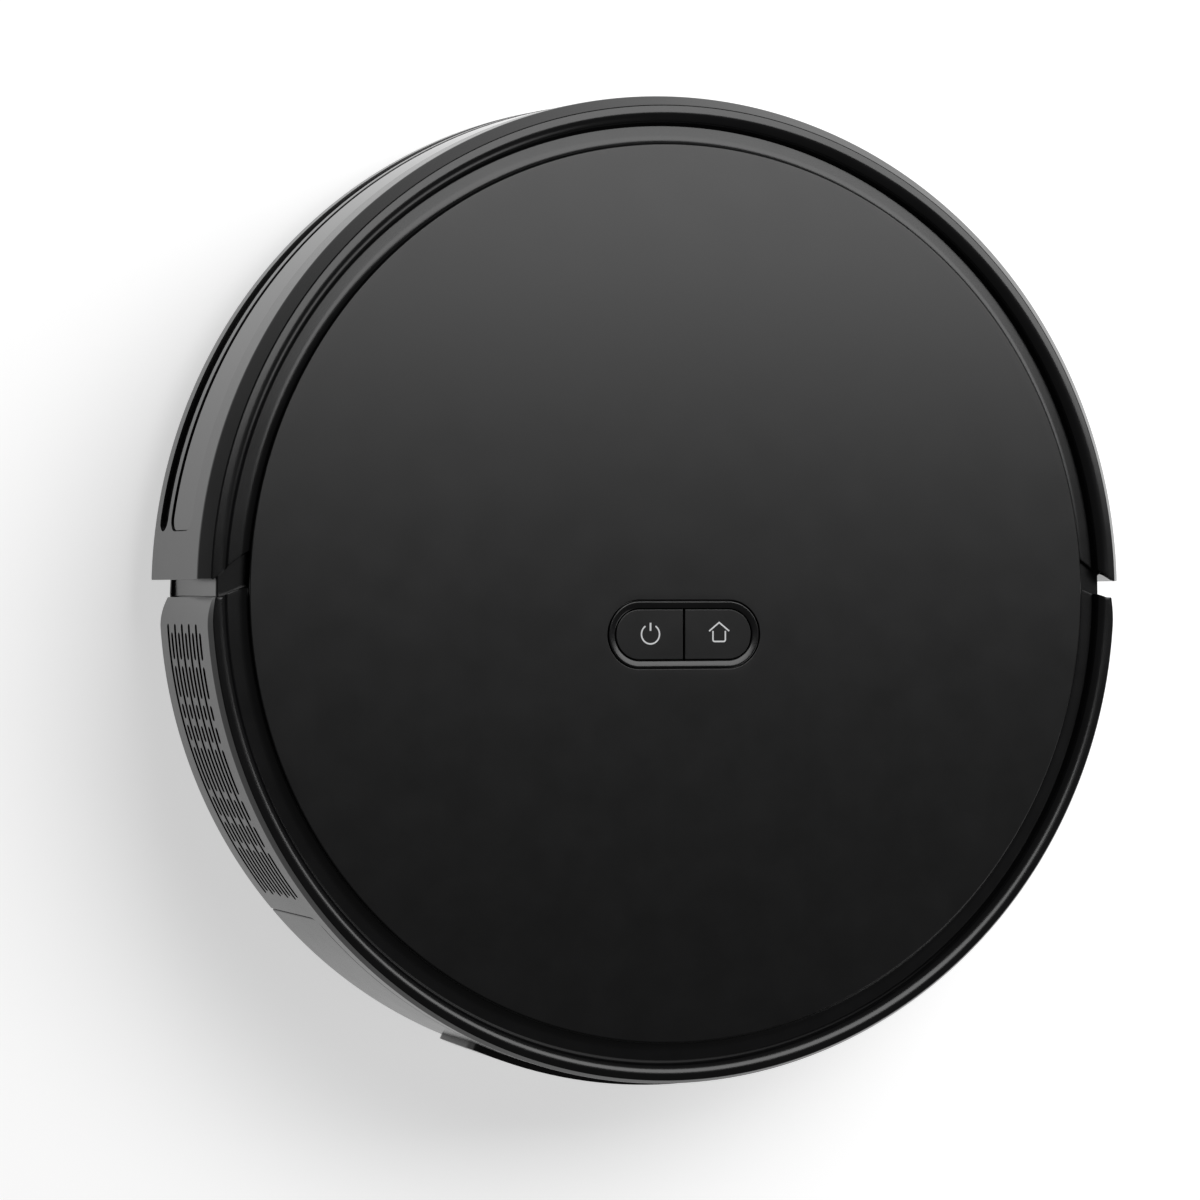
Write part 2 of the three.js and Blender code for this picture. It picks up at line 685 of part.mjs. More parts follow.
function baseChassis() {
  const g = groundClearance;
  const slopeTop = g + baseRim;
  const pan = turned([
    [0, g],
    [panFlatRadius, g],
    [panRadius, slopeTop],
    [panRadius, panRimTop],
    [panRadius - 2.4, panRimTop],
    [panFlatRadius - 1, baseTop],
    [0, baseTop],
  ]);
  const added = [];
  const removed = [];
  for (const [, s] of sides) {
    const x0 = Math.min(s * wellInner, s * wellOuter);
    const x1 = Math.max(s * wellInner, s * wellOuter);
    added.push(block(x0 - wellWall, x1 + wellWall, wellRear - wellWall, wellFront + wellWall,
      g + 0.5, wellTop));
    removed.push(block(x0, x1, wellRear, wellFront, -1, wellTop + 1));
    removed.push(rodX(armPinRadius + 0.15, x0 - 6, x1 + 6, armPivotY, armPivotZ, 12));
    added.push(post(brushPocket + 2, s * brushX, brushY, g + 0.5, brushPocketTop + 2, 20));
    removed.push(post(brushPocket, s * brushX, brushY, -1, brushPocketTop, 20));
    removed.push(post(3, s * brushX, brushY, -1, brushPocketTop + 5, 10));
    const guide = s * (binWidth / 2 + 3.5);
    const guideRear = -Math.sqrt((fanRoom - 3.6) ** 2 - (guide + s) ** 2);
    added.push(block(guide - 1, guide + 1, guideRear, bayFrontWall + 1, g + 0.5, binTop + 2));
    const seatX = contacts.width / 2 + gap;
    const seatY = contacts.length / 2 + gap;
    removed.push(block(s * contacts.x - seatX, s * contacts.x + seatX,
      contacts.y - seatY, contacts.y + seatY, -1, g + 1.3));
  }
  // roller bay and the throat to the dust bin
  const bayRear = rollerY - bayHalfWidth;
  const bayFront = rollerY + bayHalfWidth;
  added.push(block(-bayHalfLength - 2, bayHalfLength + 2, bayRear - 2, bayFront + 2, g + 0.5, bayRoof + 2));
  added.push(block(-binWidth / 2 - 4.5, binWidth / 2 + 4.5, bayFrontWall, bayFrontWall + 2,
    g + 0.5, binTop + 2));
  added.push(block(-throatHalf - 2, throatHalf + 2, bayFrontWall + 1, bayRear, g + 0.5, throatHigh + 2));
  removed.push(block(-bayHalfLength, bayHalfLength, bayRear, bayFront, -1, bayRoof));
  removed.push(block(-throatHalf, throatHalf, bayFrontWall - 3, bayRear + 3, throatLow, throatHigh));
  // duct from the dust bin filter to the fan
  removed.push(block(-binWidth / 2 - 6, -binWidth / 2, filterWindow.y0, filterWindow.y1,
    filterWindow.z0, filterWindow.z1));
  // battery bay
  const bay = batteryBay;
  added.push(block(-bay.x - 2, bay.x + 2, bay.y0 - 2, bay.y1 + 2, g + 0.5, bay.top + 2));
  removed.push(block(-bay.x, bay.x, bay.y0, bay.y1, -1, bay.top));
  removed.push(block(-bay.x - doorRim, bay.x + doorRim, bay.y0 - 1, bay.y1 + doorRim,
    -1, g + doorThickness + gap));
  for (const s of [-1, 1]) {
    added.push(post(3.6, s * doorScrewX, doorScrewY, g + 1, baseTop + 8, 10));
    removed.push(post(screwShank + gap, s * doorScrewX, doorScrewY, -1, baseTop + 7, 8));
  }
  // caster pocket and its socket
  added.push(post(casterPocket + 2, 0, casterY, g + 0.5, casterRoof + 2, 24));
  added.push(post(casterStem + 3, 0, casterY, casterRoof, casterRoof + 13, 16));
  removed.push(post(casterPocket, 0, casterY, -1, casterRoof, 24));
  removed.push(post(casterStem + 0.15, 0, casterY, casterRoof - 2, casterRoof + 11, 24));
  // screws that hold the upper housing
  for (const [x, y] of baseScrews) {
    added.push(post(screwBoss, x, y, g + 0.5, baseTop + 12, 10));
    removed.push(post(screwHead + gap, x, y, -1, screwBore, 12));
    removed.push(post(screwShank + gap, x, y, -1, baseTop + 11, 8));
  }
  for (const [, angle] of cliffPlaces) {
    removed.push(turnedPlace(block(-4.3, 4.3, -8.3, 8.3, -1, g + 1.6), angle, cliffRadius));
  }
  return cut(join(pan, ...added), ...removed);
}

function batteryDoor() {
  const g = groundClearance;
  const door = block(-batteryBay.x - doorRim + gap, batteryBay.x + doorRim - gap,
    batteryBay.y0 - 1 + gap, batteryBay.y1 + doorRim - gap, g, g + doorThickness);
  const holes = [-1, 1].map((s) => post(screwShank + gap, s * doorScrewX, doorScrewY, -1, g + 5, 12));
  const heads = [-1, 1].map((s) => post(screwHead - 0.4 + gap, s * doorScrewX, doorScrewY, -1, g + 1.1, 16));
  const catchSlot = block(-8, 8, batteryBay.y0 + 3, batteryBay.y0 + 5, -1, g + 0.8);
  return cut(door, ...holes, ...heads, catchSlot);
}

function batteryPack() {
  const w = batteryWidth / 2;
  const cell = batteryHeight / 2;
  const cells = [];
  for (let i = 0; i < 4; i += 1) {
    const x = -w + cell - 0.6 + i * ((batteryWidth - 2 * cell + 1.2) / 3);
    cells.push(rodY(cell - 0.2, x, batteryRear, batteryFront, baseTop + gap + cell, 14));
  }
  const core = block(-w + cell, w - cell, batteryRear + 1, batteryFront - 1, baseTop + gap + 1,
    baseTop + gap + batteryHeight - 1);
  const lead = block(-8, 8, batteryFront - 2, batteryFront + 1.5, baseTop + 6, baseTop + 14);
  return join(core, ...cells, lead);
}

function cliffWindow() {
  return block(-4, 4, -8, 8, 0, 1.3);
}

function chargingContact() {
  const w = contacts.width / 2;
  const l = contacts.length / 2;
  const outline = pill(2 * l, 2 * w);
  const body = plate(outline, 0, 1);
  return body.transform(new THREE.Matrix4().makeRotationZ(Math.PI / 2).elements);
}

// ---------------------------------------------------------------- drive wheels
const armPinRadius = 2.5;
const axleRadius = 3;
const armInner = wheelCentre - tyreWidth / 2 - 2 - armThickness;
const armOuter = armInner + armThickness;
const gearCase = 17;
const armEye = 9;

// Gearbox arm seen along X: a big round case at the axle, an eye at the pivot.
function armOutline() {
  const dy = armReach;
  const dz = armPivotZ - tyreRadius;
  const span = Math.hypot(dy, dz);
  const base = Math.atan2(dz, dy);
  const spread = Math.acos((gearCase - armEye) / span);
  const points = [];
  for (let i = 0; i <= 16; i += 1) {
    const a = base + spread + ((2 * Math.PI - 2 * spread) * i) / 16;
    points.push([gearCase * Math.cos(a), tyreRadius + gearCase * Math.sin(a)]);
  }
  for (let i = 0; i <= 10; i += 1) {
    const a = base - spread + (2 * spread * i) / 10;
    points.push([armReach + armEye * Math.cos(a), armPivotZ + armEye * Math.sin(a)]);
  }
  return polygon(points);
}

// Turns a plate drawn in the YZ plane so that its thickness runs along X.
function alongX(outline, x0, x1) {
  const settings = { depth: x1 - x0, bevelEnabled: false, curveSegments: 10 };
  const geometry = new THREE.ExtrudeGeometry(outline, settings);
  geometry.rotateY(Math.PI / 2);
  geometry.rotateX(Math.PI / 2);
  geometry.translate(x0, 0, 0);
  return solid(geometry);
}

function wheelArm(s) {
  const x0 = Math.min(s * armInner, s * armOuter);
  const x1 = Math.max(s * armInner, s * armOuter);
  const stub0 = Math.min(s * (armOuter - 1), s * (wheelCentre + tyreWidth / 2 - 3));
  const stub1 = Math.max(s * (armOuter - 1), s * (wheelCentre + tyreWidth / 2 - 3));
  const rib0 = Math.min(s * (armInner + 4), s * (armOuter - 4));
  const rib1 = Math.max(s * (armInner + 4), s * (armOuter - 4));
  return cut(
    join(
      alongX(armOutline(), x0, x1),
      rodX(axleRadius, stub0, stub1, 0, tyreRadius, 20),
      block(rib0, rib1, -5.5, 5.5, tyreRadius + gearCase - 4, springFoot - gap),
    ),
    rodX(armPinRadius + 0.1, x0 - 5, x1 + 5, armReach, armPivotZ, 16),
  );
}

const springFoot = tyreRadius + gearCase + 1.5;

function suspensionSpring(s) {
  const x = s * (armInner + armThickness / 2);
  const top = ledgeBottom - gap;
  return cut(post(5, x, 0, springFoot, top, 16), post(3.6, x, 0, springFoot - 1, top + 1, 16));
}

function pivotPin(s) {
  const x0 = Math.min(s * (wellInner - wellWall), s * (wellOuter + wellWall));
  const x1 = Math.max(s * (wellInner - wellWall), s * (wellOuter + wellWall));
  return rodX(armPinRadius, x0, x1, armPivotY, armPivotZ, 12);
}

function wheelHub(s) {
  const half = tyreWidth / 2;
  const face = s * (wheelCentre + half - 1.5);
  const middle = s * wheelCentre;
  const body = rodX(wheelBoss / 2 - gap, middle - half + 1, middle + half - 1, 0, tyreRadius, 28);
  const outer0 = Math.min(face - s * 4, face + s * 4);
  const outer1 = Math.max(face - s * 4, face + s * 4);
  const dish = cut(rodX(wheelBoss / 2 - 3, outer0, outer1, 0, tyreRadius, 28),
    rodX(7, outer0 - 1, outer1 + 1, 0, tyreRadius, 16));
  const spokes = [];
  for (let i = 0; i < 6; i += 1) {
    const a = (i * Math.PI) / 3;
    const bar = new THREE.BoxGeometry(20, wheelBoss / 2, 3);
    bar.translate(0, wheelBoss / 4, 0);
    bar.rotateX(a);
    bar.translate(wheelCentre * s, 0, tyreRadius);
    spokes.push(solid(bar));
  }
  const bore0 = Math.min(s * (armOuter - 2), s * (wheelCentre + half - 2.5));
  const bore1 = Math.max(s * (armOuter - 2), s * (wheelCentre + half - 2.5));
  return cut(body, cut(dish, ...spokes), rodX(axleRadius + 0.1, bore0, bore1, 0, tyreRadius, 20));
}

function tyre(s) {
  const half = tyreWidth / 2;
  const lugs = 16;
  const outline = new THREE.Shape();
  for (let i = 0; i < lugs; i += 1) {
    const step = (2 * Math.PI) / lugs;
    const marks = [
      [0, tyreRadius],
      [step * 0.31, tyreRadius],
      [step * 0.62, tyreRadius],
      [step * 0.68, tyreRadius - 1.8],
      [step * 0.94, tyreRadius - 1.8],
    ];
    for (const [da, r] of marks) {
      const a = i * step + da - Math.PI / 2 - step * 0.31;
      const x = r * Math.cos(a);
      const y = r * Math.sin(a);
      if (i === 0 && da === 0) outline.moveTo(x, y);
      else outline.lineTo(x, y);
    }
  }
  const geometry = new THREE.ExtrudeGeometry(outline, { depth: tyreWidth, bevelEnabled: false });
  geometry.rotateY(Math.PI / 2);
  geometry.rotateX(Math.PI / 2);
  geometry.translate(s * wheelCentre - half, 0, tyreRadius);
  return cut(solid(geometry), rodX(wheelBoss / 2, s * wheelCentre - half - 1, s * wheelCentre + half + 1,
    0, tyreRadius, 28));
}

// ---------------------------------------------------------------- caster
function casterFork() {
  const cheekIn = 6.3;
  const cheekOut = 8.3;
  const top = casterRoof - gap;
  const discBottom = top - 3;
  const parts = [
    post(casterPocket - 1, 0, 0, discBottom, top, 24),
    post(casterStem, 0, 0, top - 0.5, casterRoof + 10.5, 24),
  ];
  for (const s of [-1, 1]) {
    const x0 = Math.min(s * cheekIn, s * cheekOut);
    const x1 = Math.max(s * cheekIn, s * cheekOut);
    const outline = polygon([
      [-casterTrail - 3.5, casterWheelRadius - 3],
      [-casterTrail + 3.5, casterWheelRadius - 3],
      [5, discBottom + 0.5],
      [-10, discBottom + 0.5],
    ]);
    parts.push(alongX(outline, x0, x1));
  }
  return cut(join(...parts), rodX(1.6, -12, 12, -casterTrail, casterWheelRadius, 16));
}

function casterWheel() {
  const profile = [
    [1.6, -6],
    [casterWheelRadius - 2, -6],
    [casterWheelRadius - 0.4, -4.4],
    [casterWheelRadius, -2.5],
    [casterWheelRadius, 2.5],
    [casterWheelRadius - 0.4, 4.4],
    [casterWheelRadius - 2, 6],
    [1.6, 6],
  ];
  const wheel = turned(profile, 20);
  return wheel.transform(new THREE.Matrix4().makeRotationY(Math.PI / 2).elements);
}

// ---------------------------------------------------------------- roller
const gearboxWidth = 11;
const rollerCore = 8.5;
const rollerLeft = -bayHalfLength + gearboxWidth + 1.5;
const rollerRight = bayHalfLength - 4.5;
const rollerPin = 3;
const driveRadius = 3.6;

// Cross-section of the roller: a round core with radial blades.
function rollerSection(blades) {
  const points = [];
  const bladeHalf = 0.09;
  for (let i = 0; i < blades; i += 1) {
    const a = (i * 2 * Math.PI) / blades;
    const tip = rollerDiameter / 2;
    points.push([rollerCore * Math.cos(a - 0.16), rollerCore * Math.sin(a - 0.16)]);
    points.push([tip * Math.cos(a - bladeHalf * 0.6), tip * Math.sin(a - bladeHalf * 0.6)]);
    points.push([tip * Math.cos(a + bladeHalf * 0.6), tip * Math.sin(a + bladeHalf * 0.6)]);
    points.push([rollerCore * Math.cos(a + 0.16), rollerCore * Math.sin(a + 0.16)]);
    const mid = a + Math.PI / blades;
    points.push([rollerCore * Math.cos(mid), rollerCore * Math.sin(mid)]);
  }
  return points;
}

// Section swept along X while it turns in a V: one way to the middle, then back.
function twistedBar(section, x0, x1, twist, steps) {
  const positions = [];
  const index = [];
  const n = section.length;
  for (let i = 0; i <= steps; i += 1) {
    const t = i / steps;
    const a = twist * (1 - Math.abs(2 * t - 1));
    for (const [y, z] of section) {
      const turnedY = y * Math.cos(a) - z * Math.sin(a);
      const turnedZ = y * Math.sin(a) + z * Math.cos(a);
      positions.push(x0 + (x1 - x0) * t, turnedY, turnedZ);
    }
  }
  for (let i = 0; i < steps; i += 1) {
    for (let j = 0; j < n; j += 1) {
      const a = i * n + j;
      const b = i * n + ((j + 1) % n);
      index.push(a, b, a + n, b, b + n, a + n);
    }
  }
  const contour = section.map(([y, z]) => new THREE.Vector2(y, z));
  const caps = THREE.ShapeUtils.triangulateShape(contour, []);
  for (const [a, b, c] of caps) {
    index.push(a, c, b);
    index.push(steps * n + a, steps * n + b, steps * n + c);
  }
  const geometry = new THREE.BufferGeometry();
  geometry.setAttribute('position', new THREE.Float32BufferAttribute(positions, 3));
  geometry.setIndex(index);
  return solid(geometry);
}

function mainRoller() {
  const bar = twistedBar(rollerSection(5), rollerLeft, rollerRight, 1.1, 10);
  const pin = rodX(rollerPin, rollerRight - 1, bayHalfLength - 0.5, 0, 0, 16);
  const socket = rodX(driveRadius + 0.6, rollerLeft - 1, rollerLeft + 8, 0, 0, 12);
  return cut(join(bar, pin), socket);
}

function rollerGearbox() {
  const x0 = -bayHalfLength + gap;
  const x1 = x0 + gearboxWidth;
  const y0 = rollerY - bayHalfWidth + gap;
  const y1 = rollerY + bayHalfWidth - gap;
  const box = block(x0, x1, y0, y1, groundClearance + 3, bayRoof - gap);
  const drive = rodX(driveRadius, x1 - 1, rollerLeft + 6, rollerY, rollerHeight, 12);
  return join(box, drive);
}

function rollerBearing() {
  const x0 = bayHalfLength - 3.8;
  const x1 = bayHalfLength - gap;
  const y0 = rollerY - bayHalfWidth + gap;
  const y1 = rollerY + bayHalfWidth - gap;
  return cut(
    block(x0, x1, y0, y1, groundClearance + 3, rollerHeight + 9),
    rodX(rollerPin + 0.1, x0 - 1, x1 + 1, rollerY, rollerHeight, 16),
  );
}

function brushGuard() {
  const x = bayHalfLength - gap;
  const y0 = rollerY - bayHalfWidth + gap;
  const y1 = rollerY + bayHalfWidth - gap;
  const g = groundClearance;
  const open = Math.sqrt((rollerDiameter / 2) ** 2 - (rollerHeight - g - 2.6) ** 2) + 0.6;
  const frame = cut(
    block(-x, x, y0, y1, g, g + 2.6),
    block(rollerLeft - 0.8, rollerRight + 0.7, rollerY - open, rollerY + open, -1, g + 5),
  );
  const tabs = [-1, 1].map((s) => block(s * 60 - 7, s * 60 + 7, y1 - 3.2, y1, g - 1.2, g + 0.5));
  return join(frame, ...tabs);
}

// ---------------------------------------------------------------- side brushes
const brushHub = 12;

function sideBrush() {
  const g = groundClearance;
  const hub = turned([
    [0, g - 3.2],
    [6, g - 3.2],
    [brushHub, g - 0.8],
    [brushHub, g + 2.8],
    [0, g + 2.8],
  ], 20);
  const arms = [];
  for (let i = 0; i < brushArms; i += 1) {
    const outline = polygon([
      [6, -2.2],
      [brushHub + 8, -1.6],
      [brushReach, -5],
      [brushReach, 5],
      [brushHub + 8, 1.6],
      [6, 2.2],
    ]);
    const arm = plate(outline, -1.1, 1.1);
    const angle = (i * 2 * Math.PI) / brushArms;
    const place = new THREE.Matrix4().makeRotationZ(angle);
    place.multiply(new THREE.Matrix4().makeTranslation(0, 0, g - 1.5));
    place.multiply(new THREE.Matrix4().makeRotationY(0.105));
    arms.push(arm.transform(place.elements));
  }
  return cut(
    join(hub, ...arms),
    post(2.3, 0, 0, g - 1, g + 5, 16),
    post(3.1, 0, 0, -1, g - 1.4, 16),
    post(1.3, 0, 0, -1, g + 1, 12),
  );
}

function brushScrew() {
  const g = groundClearance;
  const head = post(2.8, 0, 0, g - 3, g - 1.7, 14);
  const shank = post(1, 0, 0, g - 1.8, g + 1.5, 8);
  return cut(join(head, shank), block(-1.9, 1.9, -0.35, 0.35, -1, g - 2.4));
}

function brushMotor() {
  const g = groundClearance;
  const seat = brushPocketTop + 2 + gap;
  const shaft = cut(post(2, 0, 0, g - 0.7, seat + 1, 16), post(1.3, 0, 0, g - 2, g + 2, 12));
  return join(post(16, 0, 0, seat, seat + 12, 24), post(9.5, 3, -3, seat + 11, seat + 36, 16), shaft);
}

// ---------------------------------------------------------------- fan
const fanBottom = panRimTop + gap;
const fanTop = fanBottom + 42;

function fanHousing() {
  const shell = post(fanRadius, 0, 0, fanBottom, fanTop, 32);
  const inside = post(fanRadius - fanWall, 0, 0, fanBottom + fanWall, fanTop - fanWall, 32);
  const inletZ0 = Math.max(filterWindow.z0, fanBottom + fanWall + 12);
  const inlet = block(fanRadius - 8, fanRadius + 4, -12, 12, inletZ0, fanTop - fanWall - 3);
  const outlet = block(-fanRadius - 4, -fanRadius + 10, -4, 18, fanBottom + 4, fanBottom + 26);
  const cable = post(3, 0, 0, fanTop - fanWall - 1, fanTop + 1, 12);
  return cut(shell, inside, inlet, outlet, cable);
}

function fanMotor() {
  const top = fanTop - fanWall - gap;
  const can = post(11, 0, 0, top - 12, top, 28);
  const shaft = post(1.5, 0, 0, fanBottom + fanWall + 2, top - 11, 12);
  return join(can, shaft);
}

function fanImpeller() {
  const z0 = fanBottom + fanWall + 3;
  const z1 = z0 + 15;
  const disc = post(impellerRadius, 0, 0, z0, z0 + 2, 32);
  const boss = post(6, 0, 0, z0 + 1, z1, 20);
  const blades = [];
  const count = 9;
  for (let i = 0; i < count; i += 1) {
    const blade = new THREE.BoxGeometry(17, 1.6, z1 - z0 - 1);
    blade.translate(13, 0, (z0 + z1 + 1) / 2);
    blade.rotateZ(0.55);
    blade.translate(1, -5, 0);
    blade.rotateZ((i * 2 * Math.PI) / count);
    blades.push(solid(blade));
  }
  const wheel = join(disc, boss, ...blades).intersect(post(impellerRadius, 0, 0, z0 - 1, z1 + 1, 32));
  return cut(wheel, post(1.65, 0, 0, z0 - 1, z1 + 1, 12));
}

// ---------------------------------------------------------------- dust bin
const filterWindow = { y0: -104, y1: -70, z0: 30, z1: 52 };
const tubRear = rearTopRadius - shellWall - gap - 0.3;
const doorThick = 2;
const tubFront = binFront - doorThick - 0.3;

function binTub() {
  const x = binWidth / 2;
  const outer = block(-x, x, -bodyRadius, tubFront, binFloor, binTop).intersect(
    post(tubRear, 0, 0, 0, bodyHeight, roundSides),
  );
  const inner = block(-x + binWall, x - binWall, -bodyRadius, tubFront + 5,
    binFloor + binWall, binTop - binWall)
    .intersect(post(tubRear - binWall, 0, 0, 0, bodyHeight, roundSides));
  const filterCut = block(-x - 1, -x + binWall + 1, filterWindow.y0, filterWindow.y1,
    filterWindow.z0, filterWindow.z1);
  const latchCut = block(-latchHalf - 1, latchHalf + 1, -tubRear - 2, -tubRear + binWall + 3,
    latchZ - 7, latchZ + 7);
  return cut(outer, inner, filterCut, latchCut);
}

const latchHalf = 15;
const latchZ = 46;

function binCover() {
  const inner = rearTopRadius - shellWall;
  const wall = turned([
    [rearRadiusAt(coverTop), coverTop],
    [rearBottomRadius, rearBottom],
    [rearBottomRadius - 2.4, rearBottom - 0.9],
    [inner, rearBottom],
    [inner, coverTop],
  ]);
  const trim = 0.12;
  const arc = sector(drumRadius, bodyRadius + 5, 270 - coverHalfAngle + trim, 270 + coverHalfAngle - trim,
    0, bodyHeight);
  const gripRadius = rearBottomRadius + gripRise;
  const grip = turned([
    [gripRadius - 0.6, coverTop - 8],
    [gripRadius, coverTop - 10],
    [gripRadius, rearBottom + 4],
    [gripRadius - 0.6, rearBottom + 2],
    [inner + 1, rearBottom + 2],
    [inner + 1, coverTop - 8],
  ]).intersect(sector(drumRadius, bodyRadius + 5, 270 - gripHalfAngle, 270 + gripHalfAngle, 0, bodyHeight));
  const grooveHalf = gripHalfAngle - 3;
  const fingerGroove = sector(gripRadius - 1.4, bodyRadius + 5, 270 - grooveHalf, 270 + grooveHalf,
    rearBottom + 8, rearBottom + 11);
  const latchHole = block(-latchHalf - gap, latchHalf + gap, -bodyRadius, -inner + 3,
    latchZ - 6 - gap, latchZ + 6 + gap);
  return cut(join(wall.intersect(arc), grip), fingerGroove, latchHole);
}

// Release button in the grip, curved like the wall around it.
function binButton() {
  const gripRadius = rearBottomRadius + gripRise;
  const inner = rearTopRadius - shellWall;
  return sector(inner - 1.5, gripRadius - 0.2, 250, 290, latchZ - 6, latchZ + 6).intersect(
    block(-latchHalf, latchHalf, -bodyRadius, 0, 0, bodyHeight),
  );
}

function binDoor() {
  const x = binWidth / 2;
  const axisZ = binFloor + 1.3;
  const axisY = binFront - doorThick / 2;
  const panel = block(-x, x, binFront - doorThick, binFront, axisZ, binTop);
  const knuckle = rodX(doorThick / 2, -x, x, axisY, axisZ, 16);
  const inletHalf = throatHalf - 2;
  const inlet = block(-inletHalf, inletHalf, binFront - 5, binFront + 5, throatLow + 2, throatHigh - 1);
  return cut(join(panel, knuckle), inlet);
}

const filterX = -binWidth / 2 + binWall + gap;

function filterFrame() {
  const edge = 4;
  const w = filterWindow;
  return cut(
    block(filterX, filterX + 6, w.y0 - edge, w.y1 + edge, w.z0 - edge, w.z1 + edge),
    block(filterX - 1, filterX + 7, w.y0, w.y1, w.z0, w.z1),
  );
}

function pleatedFilter() {
  const w = filterWindow;
  const pleats = 12;
  const y0 = w.y0 + gap;
  const y1 = w.y1 - gap;
  const pitch = (y1 - y0) / pleats;
  const near = [];
  const far = [];
  for (let i = 0; i < pleats; i += 1) {
    near.push([filterX + 0.5, y0 + pitch * i], [filterX + 1.6, y0 + pitch * (i + 0.5)]);
    far.push([filterX + 5.6, y0 + pitch * i], [filterX + 4.4, y0 + pitch * (i + 0.5)]);
  }
  near.push([filterX + 0.5, y1]);
  far.push([filterX + 5.6, y1]);
  return plate(polygon([...far, ...near.reverse()]), w.z0 + gap, w.z1 - gap);
}

// ---------------------------------------------------------------- boards and side controls
function mainBoard() {
  const z = batteryBay.top + 2 + 8;
  const y = (batteryBay.y0 + batteryBay.y1) / 2;
  const board = block(-38, 38, y - 38, y + 38, z, z + 1.6);
  const chips = [
    [-14, 10, 14],
    [12, 14, 10],
    [10, -14, 12],
    [-18, -18, 8],
  ].map(([x, dy, size]) => block(x - size / 2, x + size / 2, y + dy - size / 2, y + dy + size / 2,
    z + 1.5, z + 3.4));
  const sockets = [-28, -12, 4, 20].map((x) => block(x - 5, x + 5, y + 30, y + 36, z + 1.5, z + 8));
  const footBottom = batteryBay.top + 2 + gap;
  const feet = [-30, 30].flatMap((x) => [-30, 30].map(
    (dy) => post(2.5, x, y + dy, footBottom, z + 0.5, 10),
  ));
  return join(board, ...chips, ...sockets, ...feet);
}

function dcJack() {
  const r1 = rearRadiusAt(sideControlZ) + 0.2;
  const r0 = drumRadius - 7;
  return cut(
    radialBar(jackRadius, jackAngle, r0, r1, sideControlZ, 24),
    cut(radialBar(jackRadius - 1.6, jackAngle, r0 + 3, r1 + 2, sideControlZ, 20),
      radialBar(1, jackAngle, r0, r1 - 2, sideControlZ, 10)),
  );
}

const rockerTilt = 11;

// Rocker drawn with its pivot at the origin; x runs outwards and y along the wall.
function powerRocker() {
  const lift = Math.tan(radians(rockerTilt)) * rockerHalf;
  const outline = polygon([
    [-4, -2.5],
    [3.2, -rockerHalf],
    [4.8, -rockerHalf],
    [4.8, 0],
    [4.8 + lift, rockerHalf],
    [3.2, rockerHalf],
    [-4, 2.5],
  ]);
  const body = plate(outline, sideControlZ - rockerHeight / 2, sideControlZ + rockerHeight / 2);
  return turnedPlace(body, rockerAngle, rearRadiusAt(sideControlZ) - 5.5);
}

function bumperSpring(s) {
  const y0 = drumFaceY(springX) - springSeatDepth + springSeatWall + gap;
  const y1 = bumperSpringEnd();
  return cut(rodY(springRadius - 0.2, s * springX, y0, y1, springZ, 14),
    rodY(springRadius - 1.4, s * springX, y0 - 1, y1 + 1, springZ, 14));
}

// ---------------------------------------------------------------- assembly
piece('base_chassis', baseChassis(), matteBlack);
piece('upper_housing', upperHousing(), satinBlack);
piece('rear_shell', rearShell(), satinBlack);
piece('top_panel', topPanel(), panelBlack);
piece('button_bezel', buttonBezel(), satinBlack);
piece('power_button', panelButton(-1), panelBlack);
piece('home_button', panelButton(1), panelBlack);
piece('control_board', controlBoard(), boardGreen);
piece('bumper', bumper(), satinBlack);
piece('ir_window', irWindow(), windowBlack);
piece('battery_pack', batteryPack(), batteryBlue);
piece('battery_door', batteryDoor(), matteBlack);
piece('main_board', mainBoard(), boardGreen);
piece('dc_jack', dcJack(), matteBlack);
piece('power_rocker', powerRocker(), satinBlack);
piece('roller_gearbox', rollerGearbox(), darkGrey);
piece('main_roller', mainRoller(), bristleBlue, 0, rollerY, rollerHeight);
piece('roller_bearing', rollerBearing(), darkGrey);
piece('brush_guard', brushGuard(), satinBlack);
piece('fan_housing', fanHousing(), darkGrey, fanX, fanY, 0);
piece('fan_motor', fanMotor(), steel, fanX, fanY, 0);
piece('fan_impeller', fanImpeller(), darkGrey, fanX, fanY, 0);
piece('caster_fork', casterFork(), matteBlack, 0, casterY, 0);
piece('caster_wheel', casterWheel(), rubberBlack, 0, casterY - casterTrail, casterWheelRadius);
piece('caster_axle', rodX(1.4, -8.3, 8.3, 0, 0, 16), steel, 0, casterY - casterTrail, casterWheelRadius);
piece('bin_tub', binTub(), smoke);
piece('bin_cover', binCover(), satinBlack);
piece('bin_button', binButton(), satinBlack);
piece('bin_door', binDoor(), smoke);
piece('filter_frame', filterFrame(), matteBlack);
piece('hepa_filter', pleatedFilter(), filterWhite);

